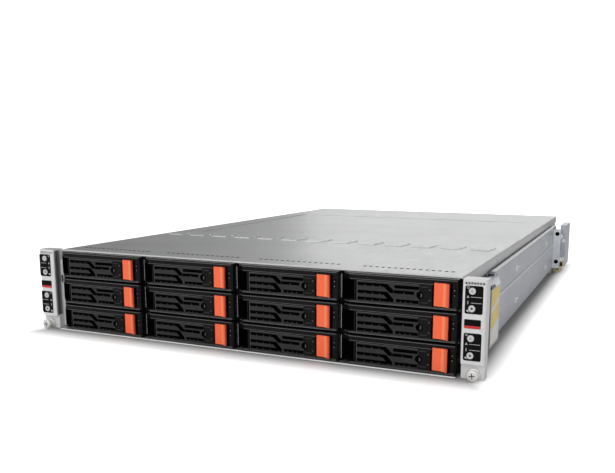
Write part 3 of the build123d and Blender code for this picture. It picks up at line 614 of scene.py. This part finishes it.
for side, places in EARS.items():
    sign = SIGNS[side]
    button_x = sign * places["button"]
    icon_x = sign * places["icons"]
    for level, middle in PANELS.items():
        film = Piece()
        outline = rounded((sign * places["film"], middle), 15.0, 23.8, 1.5)
        holes = [circle((button_x, middle + lift), 3.15, 28) for lift in BUTTONS.values()]
        film.sheet([outline] + holes, 1, EAR_FACE - 0.25, EAR_FACE)
        film.place(f"{side}_{level}_film", "film_black", "ear_metal", on("chassis"), bevel=0.08)

        printed = (EAR_FACE - 0.31, EAR_FACE - 0.25)
        marks = Piece()
        marks.sheet(annulus((icon_x, middle + 10.3), 0.95, 0.32), 1, *printed)
        triangles = []
        for half, foot, tip in ((1.15, 1.7, 3.7), (0.55, 2.05, 3.0)):
            base = middle + foot
            triangles.append([(icon_x - half, base), (icon_x + half, base), (icon_x, middle + tip)])
        marks.sheet(triangles, 1, *printed)
        marks.prism(rounded((icon_x, middle - 2.0), 0.6, 1.6, 0.2, 2), 1, *printed)
        marks.prism(circle((icon_x, middle - 3.4), 0.36, 12), 1, *printed)
        marks.prism(circle((icon_x - 0.2, middle - 9.4), 0.75, 16), 1, *printed)
        outlines = annulus((icon_x + 0.8, middle - 9.4), 1.05, 0.3)
        marks.sheet(outlines, 1, printed[0] - 0.01, printed[1])
        for lift in (2.4, -2.6):
            height = middle + lift
            marks.box(mirrored(sign, *places["lines"]), printed, (height - 0.16, height + 0.16))
        marks.place(f"{side}_{level}_marks", "print_white", "ear_metal", on("chassis"))

        for role, lift in BUTTONS.items():
            front = EAR_FACE - 0.65
            centre = (button_x, middle + lift)
            cap = Piece()
            mark = Piece()
            if role == "power":
                profile = [(-0.18, 2.72), (-0.34, 2.4), (-0.42, 1.5), (-0.44, 0.4)]
                mark.sheet(annulus(centre, 0.95, 0.28, 20), 1, front - 0.47, front - 0.35)
                bar = rounded((button_x, middle + lift + 0.6), 0.28, 1.0, 0.1, 2)
                mark.prism(bar, 1, front - 0.48, front - 0.35)
            else:
                profile = [(-0.2, 2.72), (-0.34, 2.35), (-0.3, 1.9), (-0.1, 1.5), (-0.08, 0.4)]
                mark.prism(circle(centre, 1.05, 20), 1, front - 0.13, front)
            cap.turned([(0.05, 2.78)] + profile, (button_x, front, middle + lift), 1)
            body = f"{side}_{level}_{role}_button"
            cap.place(f"{body}_cap", "button_white", "button_plastic", on(body))
            mark.place(f"{body}_mark", "mark_grey", "button_plastic", on(body))

    badge_x = sign * places["badge"]
    badge = Piece()
    badge.prism(rounded((badge_x, 49.3), 14.0, 7.8, 0.8), 1, EAR_FACE - 0.28, EAR_FACE)
    badge.place(f"{side}_badge", "film_black", "ear_metal", on("chassis"), bevel=0.08)
    band = Piece()
    band.prism(rounded((badge_x, 46.6), 13.9, 2.3, 0.5), 1, EAR_FACE - 0.33, EAR_FACE - 0.2)
    band.place(f"{side}_badge_band", "badge_red", "ear_metal", on("chassis"), bevel=0.05)

    # Thumbscrew: fluted head, shank and a dark cross that is turned a little
    screw_at = (sign * RACK_SCREW, FRONT, 5.85)
    knob = Piece()
    profile = [
        (-16.0, 3.9), (-15.8, 4.5), (-15.3, 4.95), (-14.6, 5.15), (-13.6, 5.15), (-13.0, 4.9),
        (-12.7, 4.1), (-9.9, 4.0), (-9.7, 4.9), (-9.4, 5.25), (-7.5, 5.3), (-7.1, 5.0),
        (-7.1, 2.5), (4.0, 2.5), (4.0, 2.9),
    ]
    knob.turned(profile, screw_at, 1, 72, flutes=18, depth=0.22)
    knob.turned([(4.0, 2.9), (4.4, 3.0), (15.4, 3.0), (16.0, 2.4)], screw_at, 1)
    screw_body = f"{side}_thumbscrew"
    made = knob.place(f"{side}_knob", "screw_nickel", "screw_metal", on(screw_body), sharp=50)
    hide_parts(screw_body)
    cross = Piece()
    tilt = math.radians(8)
    outline = []
    for quarter in range(4):
        for across, up in ((0.45, 0.45), (0.45, 2.5), (-0.45, 2.5)):
            for turn in range(quarter):
                across, up = -up, across
            turned_x = across * math.cos(tilt) - up * math.sin(tilt)
            turned_z = across * math.sin(tilt) + up * math.cos(tilt)
            outline.append((screw_at[0] + turned_x, screw_at[2] + turned_z))
    cross.prism(outline, 1, FRONT - 16.01, FRONT - 15.6)
    cross.place(f"{side}_cross", "recess_brown", "screw_metal", on(screw_body))


# Details of the chassis: painted shade and painted highlights on front edges, dimples, vents and
# screws of the cover

# Black strips of painted shade on the sheets between the drive columns and
# beside the right ear, with a painted highlight line at the height of each tray
partition_shades = Piece()
edges = Piece()
for column in range(1, 4):
    across = FIRST_COLUMN + column * COLUMN_PITCH
    partition_shades.prism(rounded((across, FRONT - 0.95), 1.26, 2.0, 0.3, 3), 2, 2.0, 85.3)
    for height in ROWS.values():
        line = (across - 0.26, across + 0.26)
        edges.box(line, (FRONT - 2.02, FRONT - 1.9), (height - 11.2, height + 10.4))
partition_shades.box((217.6, 221.1), (FRONT - 1.1, FRONT - 0.1), (2.2, 85.0))
partition_shades.place("partition_shade", "tray_black", "cage_steel", on("chassis"))
edges.place("partition_highlight", "rail_light", "cage_steel", on("chassis"))

# Folded edges of the sheet above and below the trays, drawn bright as a painted highlight
hems = Piece()
hems.box((-218.6, 218.6), (FRONT - 1.14, FRONT - 1.0), (85.5, 86.95))
hems.box((-217.4, 217.4), (FRONT - 10.52, FRONT - 10.4), (0.54, 1.76))
hems.place("folded_edge", "edge_bright", "cover_steel", on("chassis"), bevel=0.04)

# Shallow dimples over the cover stiffeners
dimples = Piece()
for across in (-109.0, 0.0, 109.0):
    for back in (-327.3, -271.5, -215.0):
        profile = [(87.0, 2.3), (86.98, 2.2), (86.82, 1.6), (86.8, 0.5)]
        dimples.turned(profile, (across, back, 0), 2, 20)
dimples.place("cover_dimple", "cover_steel", "cover_steel", on("chassis"))

# Dark space in the cover vents
VENTS_PER_GROUP = 15
VENT_PITCH = 5.9
vents = Piece()
for group in range(4):
    middle = FIRST_COLUMN + (group + 0.5) * COLUMN_PITCH
    for slot in range(VENTS_PER_GROUP):
        across = middle + (slot - (VENTS_PER_GROUP - 1) / 2) * VENT_PITCH
        vents.box((across - 1.55, across + 1.55), (FRONT + 19.7, FRONT + 24.3), (86.3, 86.97))
vents.place("vent_shadow", "void_black", "cage_steel", on("chassis"))

# Screws in the flanges of the covers: (distance back, height, radius) each
COVER_SIDE = 219.0
FLANGE_SCREWS = (
    (-213.0, 80.5, 1.7), (-183.0, 81.0, 1.9), (-177.0, 78.0, 1.1),
    (60.0, 80.5, 1.9), (300.0, 80.5, 1.9),
)
flange_screws = Piece()
for back, height, radius in FLANGE_SCREWS:
    for sign in (-1, 1):
        profile = []
        for out, share in ((-0.1, 1.0), (0.25, 1.0), (0.42, 0.75), (0.42, 0.4), (0.2, 0.3)):
            profile.append((sign * out, radius * share))
        flange_screws.turned(profile, (sign * COVER_SIDE, back, height), 0, 20)
flange_screws.place("flange_screw", "screw_nickel", "screw_metal", on("chassis"))


# Details of the rails: studs, spring clips, a hook, a blank label and the
# coated lower tab

RACK_HOLES = (44.2 - 22.225, 44.2 + 22.225)
STUDS = ((-109.0, 61.0, 226.0), (-110.0, 24.0, 226.8), (160.0, 60.5, 226.0), (158.0, 24.4, 226.8))
CLIP_FACE = 237.6
LABEL_FACE = 238.0
TAB = (233.5, 9.0)
TAB_STEPS = 16
for side, sign in SIGNS.items():
    rail = on(f"{side}_rail")
    studs = Piece()
    stud_shades = Piece()
    for back, height, face in STUDS:
        centre = (sign * face, back, height)
        profile = [(0.0, 3.6), (0.5, 3.5), (0.9, 2.9), (0.9, 1.8), (0.6, 1.6)]
        studs.turned([(sign * out, radius) for out, radius in profile], centre, 0, 24)
        # Black dot of painted shade in the hollow of each stud
        profile = [(0.5, 1.75), (0.66, 1.7), (0.66, 0.5)]
        stud_shades.turned([(sign * out, radius) for out, radius in profile], centre, 0, 18)
        tongue = rounded((back + 9.5, height), 15.0, 2.6, 1.2, 4)
        studs.prism(tongue, 0, *mirrored(sign, face - 0.05, face + 0.35))
    studs.place(f"{side}_rail_stud", "edge_bright", "rail_steel", rail, bevel=0.12)
    stud_shades.place(f"{side}_rail_stud_eye", "void_black", "rail_steel", rail)

    clips = Piece()
    for back, height in ((256.0, 62.0), (254.5, 25.0)):
        clip = rounded((back, height), 5.0, 7.0, 1.4, 4)
        clips.prism(clip, 0, *mirrored(sign, CLIP_FACE - 0.05, CLIP_FACE + 1.6))
        clip = rounded((back + 1.2, height), 2.0, 4.0, 0.8, 4)
        clips.prism(clip, 0, *mirrored(sign, CLIP_FACE, CLIP_FACE + 2.6))
    for height in (54.0, 24.0):
        clips.prism(rounded((sign * 240.6, height), 4.6, 5.5, 1.2, 4), 1, 269.4, 270.05)
    clips.place(f"{side}_rail_clip", "edge_bright", "rail_steel", rail, bevel=0.2)

    # Painted highlight on the top face of the rail's upper flange
    strips = Piece()
    strips.box(mirrored(sign, 221.6, 226.02), (-238.0, 288.0), (75.99, 76.1))
    strips.place(f"{side}_rail_flange_edge", "edge_bright", "rail_steel", rail)
    # Black discs of painted shade behind the rack holes and inside the hole of the tab
    hole_shades = Piece()
    for height in RACK_HOLES:
        hole_shades.prism(circle((sign * RACK_SCREW, height), 3.25), 1, 250.2, 251.0)
    hole_shades.prism(circle((sign * TAB[0], TAB[1]), 2.7), 1, 269.9, 271.3)
    plate = Piece()
    low, high = mirrored(sign, 226.9, 237.4)
    outlines = [[(low, 11.6), (high, 11.6), (high, 73.4), (low, 73.4)]]
    for height in RACK_HOLES:
        outlines.append(circle((sign * RACK_SCREW, height), 3.3))
    plate.sheet(outlines, 1, 249.8, 249.98)
    plate.place(f"{side}_post_plate", "rail_light", "rail_steel", rail, bevel=0.05)
    # Raised bead along the rail web, drawn lighter as a painted highlight on the bend
    bead = Piece()
    outline = [(226.7, 49.4), (226.75, 48.2), (226.95, 47.2), (226.95, 48.6), (226.85, 49.2)]
    bead.prism([(sign * across, height) for across, height in outline], 1, -234.0, 249.0)
    bead.place(f"{side}_rail_bead", "rail_light", "rail_steel", rail)
    hole_shades.place(f"{side}_rail_plug", "void_black", "rail_steel", rail)
    hook = Piece()
    outline = [
        (-322.0, 71.9), (-322.0, 74.6), (-320.6, 75.6), (-309.0, 75.6),
        (-307.0, 74.2), (-304.0, 74.2), (-303.0, 71.9),
    ]
    hook.prism(outline, 0, *mirrored(sign, 236.8, 238.0))
    hook.place(f"{side}_rail_hook", "dark_steel", "rail_steel", rail, bevel=0.25)

    label = Piece()
    outline = rounded((-301.0, 46.0), 36.0, 50.0, 1.2, 4)
    label.prism(outline, 0, *mirrored(sign, LABEL_FACE, LABEL_FACE + 0.12))
    label.place(f"{side}_rail_label", "label_yellow", "rail_steel", rail)
    fields = Piece()
    for heights in ((22.0, 22.0, 41.0, 35.0), (50.0, 56.5, 60.5, 54.0)):
        outline = list(zip((-318.6, -283.4, -283.4, -318.6), heights))
        fields.prism(outline, 0, *mirrored(sign, LABEL_FACE, LABEL_FACE + 0.16))
    fields.place(f"{side}_rail_label_field", "label_white", "rail_steel", rail)

    shell = Piece()
    middle = sign * TAB[0]
    outline = []
    for step in range(TAB_STEPS + 1):
        outline.append(polar((middle, TAB[1]), 7.45, math.pi + step * math.pi / TAB_STEPS))
    outline += [(middle + 7.45, 18.8), (middle - 7.45, 18.8)]
    for low, high in ((269.75, 270.0), (271.2, 271.45)):
        shell.sheet([outline, circle((middle, TAB[1]), 2.75)], 1, low, high)
    shell.box(mirrored(sign, 235.2, 243.8), (269.75, 269.97), (12.2, 20.0))
    shell.place(f"{side}_tab_coating", "tab_cream", "rail_steel", rail, bevel=0.08)


# Details of the node sleds: widths run from the nearer side of a sled and
# heights from its underside

REAR = 348.0
SLED_OFFSETS = {"right": 40.1, "left": -216.3}
LEVELS = {"lower": 1.5, "upper": 43.7}
sled_seats = []
for level, bottom in LEVELS.items():
    for side, left in SLED_OFFSETS.items():
        sled_seats.append((f"_{side}_{level}", f"{side}_{level}_sled", (left, 0.0, bottom)))

HOLE_PITCH = 3.25


def pierced(piece, outline, rows, columns, first, span):
    """Plate across Y with staggered rows of round holes."""
    outlines = [outline]
    for row in range(rows):
        shift = HOLE_PITCH / 2 if row % 2 else 0.0
        for column in range(columns - row % 2):
            centre = (first[0] + shift + column * HOLE_PITCH, first[1] + row * HOLE_PITCH * 0.87)
            outlines.append(circle(centre, 1.25, 8))
    piece.sheet(outlines, 1, *span)


grille = Piece()
outline = rounded((123.2, 25.0), 74.0, 18.0, 0.5, 2)
pierced(grille, outline, 6, 23, (87.5, 17.9), (REAR - 0.8, REAR - 0.3))
outline = rounded((43.5, 29.5), 73.0, 14.0, 0.8, 2)
pierced(grille, outline, 4, 21, (10.8, 25.3), (REAR, REAR + 0.3))
grille.place("sled_grille", "sled_steel", "sled_steel", sled_seats)
backing = Piece()
backing.prism(rounded((43.5, 29.5), 72.0, 13.0, 0.6, 2), 1, REAR - 0.02, REAR + 0.03)
backing.box((12.2, 65.8), (REAR - 1.08, REAR - 1.0), (5.4, 18.6))
backing.place("sled_port_shadow", "void_black", "sled_steel", sled_seats)

# Shells of the ports: two network ports, a small port and a wide connector
NETWORK_PORTS = (20.0, 39.0)
WIDE_PORT = (77.0, 12.0)
PORT_FOOT = REAR - 0.9
shells = Piece()
for across in NETWORK_PORTS:
    outlines = [rounded((across, 12.0), 15.4, 13.0, 0.6, 3)]
    outlines.append(rounded((across, 11.2), 11.9, 8.2, 0.3, 2))
    outlines.append(rounded((across, 16.2), 4.6, 1.5, 0.2, 2))
    shells.sheet(outlines, 1, PORT_FOOT, REAR + 0.25)
outlines = [rounded((58.0, 12.0), 13.6, 6.6, 0.8, 3), rounded((58.0, 12.0), 12.6, 5.6, 0.5, 3)]
shells.sheet(outlines, 1, PORT_FOOT, REAR + 0.4)
wide = [
    (69.6, 15.9), (70.6, 16.2), (83.4, 16.2), (84.4, 15.9),
    (83.2, 8.2), (82.4, 7.8), (71.6, 7.8), (70.8, 8.2),
]
mid_x, mid_z = WIDE_PORT
core = [(mid_x + (x - mid_x) * 0.90, mid_z + (z - mid_z) * 0.84) for x, z in wide]
shells.sheet([wide, core], 1, PORT_FOOT, REAR + 3.2)
for across in (66.9, 87.2):
    profile = [(0.0, 1.5), (2.9, 1.5), (3.1, 1.2), (3.1, 0.7), (1.5, 0.6)]
    shells.turned(profile, (across, REAR, 12.0), 1, 6)
shells.place("port_shell", "edge_bright", "screw_metal", sled_seats, bevel=0.1)

contacts = Piece()
for across in NETWORK_PORTS:
    for pin in range(8):
        centre = across + (pin - 3.5) * 1.15
        contacts.box((centre - 0.28, centre + 0.28), (REAR - 1.0, REAR - 0.35), (7.4, 10.6))
contacts.box((52.6, 63.4), (REAR - 1.0, REAR - 0.1), (12.6, 13.3))
contacts.place("port_contact", "contact_gold", "screw_metal", sled_seats)

inserts = Piece()
outlines = [core]
for row in range(3):
    for pin in range(5):
        across = mid_x + (pin - 2) * 2.2 + (0.5 if row == 1 else 0.0)
        outlines.append(circle((across, 14.3 - row * 2.3), 0.55, 8))
inserts.sheet(outlines, 1, REAR - 0.8, REAR + 2.4)
inserts.box((52.4, 63.6), (REAR - 1.0, REAR - 0.15), (11.0, 12.5))
inserts.place("port_insert", "insert_blue", "tray_plastic", sled_seats)

lamps = Piece()
port_lamps = [(across, REAR + 0.22, 17.2) for across in (14.9, 25.1, 33.9, 44.1)]
for place in port_lamps + [(90.0, REAR, 34.5), (95.0, REAR, 34.5)]:
    lamps.turned([(-0.2, 0.9), (0.2, 0.85), (0.45, 0.5), (0.5, 0.2)], place, 1, 12)
lamps.place("sled_indicator", "lens_green", "button_plastic", sled_seats)

GRIP = (366.0, 10.0)
grip = Piece()
grip.prism(rounded(GRIP, 5.4, 5.4, 2.2), 0, 114.0, 148.4)
for across in (112.9, 149.5):
    grip.prism(rounded(GRIP, 6.0, 6.0, 2.6), 0, across - 1.1, across + 1.1)
grip.place("sled_grip", "matte_black", "sled_steel", sled_seats, bevel=0.2)

BOARD_TOP = 6.7
board = Piece()
outline = rounded((88.1, 80.5), 169.0, 527.0, 2.0, 3)
board.prism(outline, 2, BOARD_TOP - 0.05, BOARD_TOP + 0.15)
board.place("node_board", "board_green", "sled_steel", sled_seats)

chips = Piece()
for index in range(26):
    centre = (14.0 + (index * 47) % 148, -120.0 + (index * 131) % 440)
    outline = rounded(centre, 7.0 + index % 3 * 2, 5.0 + index % 4, 0.4, 2)
    chips.prism(outline, 2, BOARD_TOP, BOARD_TOP + 1.3)
chips.place("board_chip", "matte_black", "tray_plastic", sled_seats, bevel=0.15)

SOCKETS = (-34.0, 116.0)
fins = Piece()
for middle in SOCKETS:
    for fin in range(25):
        across = 58.7 + fin * 2.45
        fins.box((across - 0.35, across + 0.35), (middle - 44.6, middle + 44.6), (36.4, 39.5))
fins.place("heat_sink_fin", "drive_aluminium", "cage_steel", sled_seats)

sticks = Piece()
holders = Piece()
for middle in SOCKETS:
    for left in (12.0, 128.2):
        for stick in range(4):
            across = left + 4.5 + stick * 9.0
            sticks.box((across - 0.7, across + 0.7), (middle - 64.0, middle + 64.0), (34.0, 38.6))
            for back in (middle - 66.3, middle + 66.3):
                holder = ((across - 2.2, across + 2.2), (back - 1.6, back + 1.6))
                holders.box(*holder, (BOARD_TOP, 36.5))
sticks.place("memory_stick", "board_green", "sled_steel", sled_seats)
holders.place("memory_latch", "matte_black", "tray_plastic", sled_seats, bevel=0.3)


def fan_blades(piece, centre, corners, low, high):
    """Seven blades round a centre, each from (radius, lead angle) corners."""
    for blade in range(7):
        turn = blade * 2 * math.pi / 7
        piece.prism([polar(centre, radius, turn + lead) for radius, lead in corners], 1, low, high)


FAN_HEIGHT = 22.5
SLED_BLADE = ((5.4, 0.0), (10.0, 0.10), (14.4, 0.22), (14.4, 0.70), (10.0, 0.62), (5.4, 0.5))
rings = Piece()
blades = Piece()
for fan in range(4):
    across = 88.1 + (fan - 1.5) * 44.0
    for face, step in ((-144.0, -1), (-116.0, 1)):
        centre = (across, face, FAN_HEIGHT)
        for radius in (15.2, 9.6):
            low, high = 0.0, step * 0.9
            inner = radius - 1.0
            rings.turned([(low, radius), (high, radius), (high, inner), (low, inner)], centre, 1)
        rings.turned([(0.0, 5.6), (step * 1.0, 5.4), (step * 1.2, 4.8)], centre, 1, 24)
        low, high = sorted((face + step * 0.05, face + step * 0.45))
        fan_blades(blades, (across, FAN_HEIGHT), SLED_BLADE, low, high)
rings.place("fan_ring", "matte_black", "tray_plastic", sled_seats)
blades.place("fan_blade", "lever_black", "tray_plastic", sled_seats)


# Details of the power supplies, measured from their middle and underside

supply_seats = []
for level, bottom in LEVELS.items():
    supply_seats.append((f"_{level}", f"{level}_power_supply", (0.0, 0.0, bottom)))
FAN = (-15.75, 20.0)
WIRE_STEPS = 36
WIRE_SIDES = 8


def wire_ring(piece, radius, wire, middle):
    """Round wire bent into a ring across Y, round the fan."""
    rings = []
    for step in range(WIRE_STEPS):
        ring = []
        for corner in range(WIRE_SIDES):
            tilt = 2 * math.pi * corner / WIRE_SIDES
            x, z = polar(FAN, radius + wire * math.cos(tilt), 2 * math.pi * step / WIRE_STEPS)
            ring.append(piece.mesh.verts.new((x, middle + wire * math.sin(tilt), z)))
        rings.append(ring)
    for first, second in zip(rings, rings[1:] + rings[:1]):
        piece.join(first, second)


guard = Piece()
for radius in (4.0, 7.2, 10.4, 13.6, 16.6):
    wire_ring(guard, radius, 0.5, REAR + 0.55)
for turn in (math.pi / 4, 3 * math.pi / 4):
    along = (math.cos(turn), math.sin(turn))
    across = (-along[1] * 0.5, along[0] * 0.5)
    bar = []
    for reach, side in ((-18.6, -1), (18.6, -1), (18.6, 1), (-18.6, 1)):
        x = FAN[0] + along[0] * reach + across[0] * side
        bar.append((x, FAN[1] + along[1] * reach + across[1] * side))
    guard.prism(bar, 1, REAR + 0.02, REAR + 0.85)
guard.place("fan_guard", "edge_bright", "screw_metal", supply_seats, bevel=0.12)

FAN_BLADE = ((5.8, 0.0), (11.0, 0.12), (15.8, 0.28), (15.8, 0.82), (11.0, 0.72), (5.8, 0.62))
rotor = Piece()
fan_blades(rotor, FAN, FAN_BLADE, REAR - 2.4, REAR - 1.7)
rotor.turned([(-1.2, 6.0), (-0.75, 5.6), (-0.7, 5.0)], (FAN[0], REAR, FAN[1]), 1)
rotor.place("supply_rotor", "matte_black", "tray_plastic", supply_seats, bevel=0.1)
well = Piece()
well.prism(circle(FAN, 16.4, 32), 1, REAR - 3.98, REAR - 3.8)
well.place("supply_fan_well", "void_black", "supply_steel", supply_seats)

inlet = Piece()
mouth = [(5.6, 9.4), (28.9, 9.4), (28.9, 20.6), (24.6, 24.8), (9.9, 24.8), (5.6, 20.6)]
inlet.sheet([rounded((17.25, 17.0), 29.4, 22.4, 1.6, 4), mouth], 1, REAR - 0.6, REAR + 0.7)
inlet.place("inlet_rim", "matte_black", "tray_plastic", supply_seats, bevel=0.25)
back_wall = Piece()
back_wall.box((4.0, 30.5), (REAR - 13.98, REAR - 13.7), (7.2, 26.8))
back_wall.place("inlet_floor", "void_black", "tray_plastic", supply_seats)

signal = Piece()
signal.turned([(-0.1, 1.3), (0.3, 1.2), (0.6, 0.7), (0.65, 0.2)], (30.5, REAR, 33.0), 1, 16)
signal.place("supply_indicator", "lens_green", "button_plastic", supply_seats)
grip = Piece()
grip.prism(rounded((367.11, 20.0), 3.82, 9.4, 1.6, 4), 0, -30.0, 0.0)
grip.place("supply_grip", "matte_black", "supply_steel", supply_seats, bevel=0.2)


# Bare inner side of each ear, drawn as a sheet with painted shade, a black
# patch of painted shade at a notch in the side wall, the control board of each
# ear, seen from behind, and the screws along the rear edge of the cover

for side, sign in SIGNS.items():
    # Sheet with painted shade on the inner side of the ear
    shade_sheet = Piece()
    outline = rounded((FRONT - 5.9, 50.8), 7.8, 70.0, 0.4, 2)
    shade_sheet.prism(outline, 0, *mirrored(sign, 221.12, 221.3))
    shade_sheet.place(f"{side}_ear_liner", "ear_shade", "ear_metal", on("chassis"))
    # Black patch of painted shade at a notch in the side wall
    notch_shade = Piece()
    notch_shade.box(mirrored(sign, 219.2, 220.6), (FRONT - 1.2, FRONT - 0.9), (51.0, 58.5))
    notch_shade.place(f"{side}_wall_notch", "void_black", "ear_metal", on("chassis"))
    panel = Piece()
    panel.box(mirrored(sign, 223.5, 239.1), (FRONT - 2.97, FRONT - 2.8), (16.7, 84.8))
    panel.place(f"{side}_ear_board", "board_green", "ear_metal", on("chassis"))
    plug = Piece()
    plug.box(mirrored(sign, 227.0, 235.6), (FRONT - 2.85, FRONT + 1.5), (44.0, 56.0))
    for pin in range(5):
        middle = 46.0 + pin * 2.0
        pin_height = (middle - 0.4, middle + 0.4)
        plug.box(mirrored(sign, 228.6, 234.0), (FRONT + 1.4, FRONT + 1.9), pin_height)
    plug.place(f"{side}_ear_plug", "button_white", "ear_metal", on("chassis"), bevel=0.2)

rear_screws = Piece()
for across in (-205.0, -120.0, -46.0, 46.0, 120.0, 205.0):
    profile = [(86.95, 2.6), (87.02, 2.5), (87.08, 1.9), (87.08, 1.1), (86.98, 0.9)]
    rear_screws.turned(profile, (across, 341.0, 0), 2, 20)
rear_screws.place("cover_screw", "screw_nickel", "screw_metal", on("chassis"))


# Stage: a pale floor, soft lights and the photograph's camera

floor_mesh = bpy.data.meshes.new("floor")
reach = 6.0
corners = [(-reach, -reach, 0), (reach, -reach, 0), (reach, reach, 0), (-reach, reach, 0)]
floor_mesh.from_pydata(corners, [], [(0, 1, 2, 3)])
floor = bpy.data.objects.new("floor", floor_mesh)
scene.collection.objects.link(floor)

# The floor is darker within a few centimetres of the footprint, a painted
# shadow in its colour, and the camera sees it brightened elsewhere, so that
# it runs into the white behind
FLOOR_WHITE = (0.92, 0.92, 0.92)
FLOOR_SHADE = (0.30, 0.30, 0.30)
FOOTPRINT = (0.227, 0.361, 0.0)
SIDE_FALL = 1.6
floor_shader = Shader("floor_white", FLOOR_WHITE, 0.9, specular=0.1)
here = floor_shader.coords
size = floor_shader.math("ABSOLUTE", here, vector="Vector")
outside = floor_shader.math("SUBTRACT", size, FOOTPRINT, vector="Vector")
beside = floor_shader.math("MULTIPLY", floor_shader.part(outside, "X"), SIDE_FALL)
gap = floor_shader.math("MAXIMUM", beside, floor_shader.part(outside, "Y"))
distance = floor_shader.math("LENGTH", here, vector="Value")
near = floor_shader.spread(gap, 0.0, 1.0, -0.004, 0.032)
floor_shader.surface({"Base Color": floor_shader.blend(near, FLOOR_SHADE, FLOOR_WHITE)})
nearby = floor_shader.spread(gap, 0.03, 0.70, 0.002, 0.038)
far = floor_shader.spread(distance, 0.0, 0.75, 0.75, 1.7)
seen = floor_shader.node("LightPath", {}).outputs["Is Camera Ray"]
strength = floor_shader.math("MULTIPLY", seen, floor_shader.math("ADD", nearby, far))
glow = floor_shader.node("Emission", {"Strength": strength})
both = floor_shader.node("AddShader", {0: floor_shader.main.outputs[0], 1: glow.outputs[0]})
floor_shader.feed(floor_shader.tree.nodes["Material Output"], {"Surface": both.outputs[0]})
floor_mesh.materials.append(floor_shader.material)


def area_light(name, place, target, size, power):
    data = bpy.data.lights.new(name, "AREA")
    data.shape = "RECTANGLE"
    data.size, data.size_y = size
    data.energy = power
    light = bpy.data.objects.new(name, data)
    light.location = place
    light.rotation_euler = (Vector(target) - Vector(place)).to_track_quat("-Z", "Y").to_euler()
    scene.collection.objects.link(light)


area_light("key", (0.2, -3.0, 1.8), (0, -0.3, 0), (6.6, 3.6), 84)
area_light("back", (-0.35, 3.4, 1.1), (0, 0, 0.1), (2.7, 1.5), 12)
area_light("strip", (-0.8, -0.85, 2.3), (-0.1, -0.3, 0), (1.9, 0.5), 7)

# A pale world that is dim towards the left rear, and white to the camera
world = bpy.data.worlds.new("studio")
scene.world = world
world.use_nodes = True
sky = Graph(world.node_tree)
DIM_SIDE = (-0.86, 0.50, 0.08)
WORLD_LEVEL = 0.36
DIM_LEVEL = 0.03
heading = sky.node("TexCoord", {}).outputs["Generated"]
facing = sky.math("DOT_PRODUCT", heading, DIM_SIDE, vector="Value")
level = sky.spread(facing, WORLD_LEVEL, DIM_LEVEL, 0.86, 0.97)
white = (1.0, 1.0, 1.0, 1.0)
pale = sky.feed(sky.tree.nodes["Background"], {"Color": white, "Strength": level})
plain = sky.node("Background", {"Color": white, "Strength": 1.0})
seen = sky.node("LightPath", {}).outputs["Is Camera Ray"]
chooser = sky.node("MixShader", {0: seen, 1: pale.outputs[0], 2: plain.outputs[0]})
sky.feed(sky.tree.nodes["World Output"], {"Surface": chooser.outputs[0]})

# The camera was fitted to the photograph: a 615 by 473 pixel frame, whose
# axis passes through pixel (328.2, 285.5).
PHOTO_WIDTH = 615.0
PHOTO_HEIGHT = 473.0
AXIS_PIXEL = (328.19, 285.55)
FOCAL_PIXELS = 719.0
SENSOR = 36.0
camera_data = bpy.data.cameras.new("camera")
camera_data.sensor_width = SENSOR
camera_data.lens = FOCAL_PIXELS / PHOTO_WIDTH * SENSOR
camera_data.shift_x = (PHOTO_WIDTH / 2 - AXIS_PIXEL[0]) / PHOTO_WIDTH
camera_data.shift_y = (AXIS_PIXEL[1] - PHOTO_HEIGHT / 2) / PHOTO_WIDTH
camera_data.clip_start = 0.01
camera = bpy.data.objects.new("camera", camera_data)
camera.location = (0.35217, -0.94348, 0.18574)
camera.rotation_euler = (math.radians(79.869), math.radians(-0.2), math.radians(23.479))
scene.collection.objects.link(camera)
scene.camera = camera
scene.view_settings.view_transform = "Standard"

low, high = cad_bounds
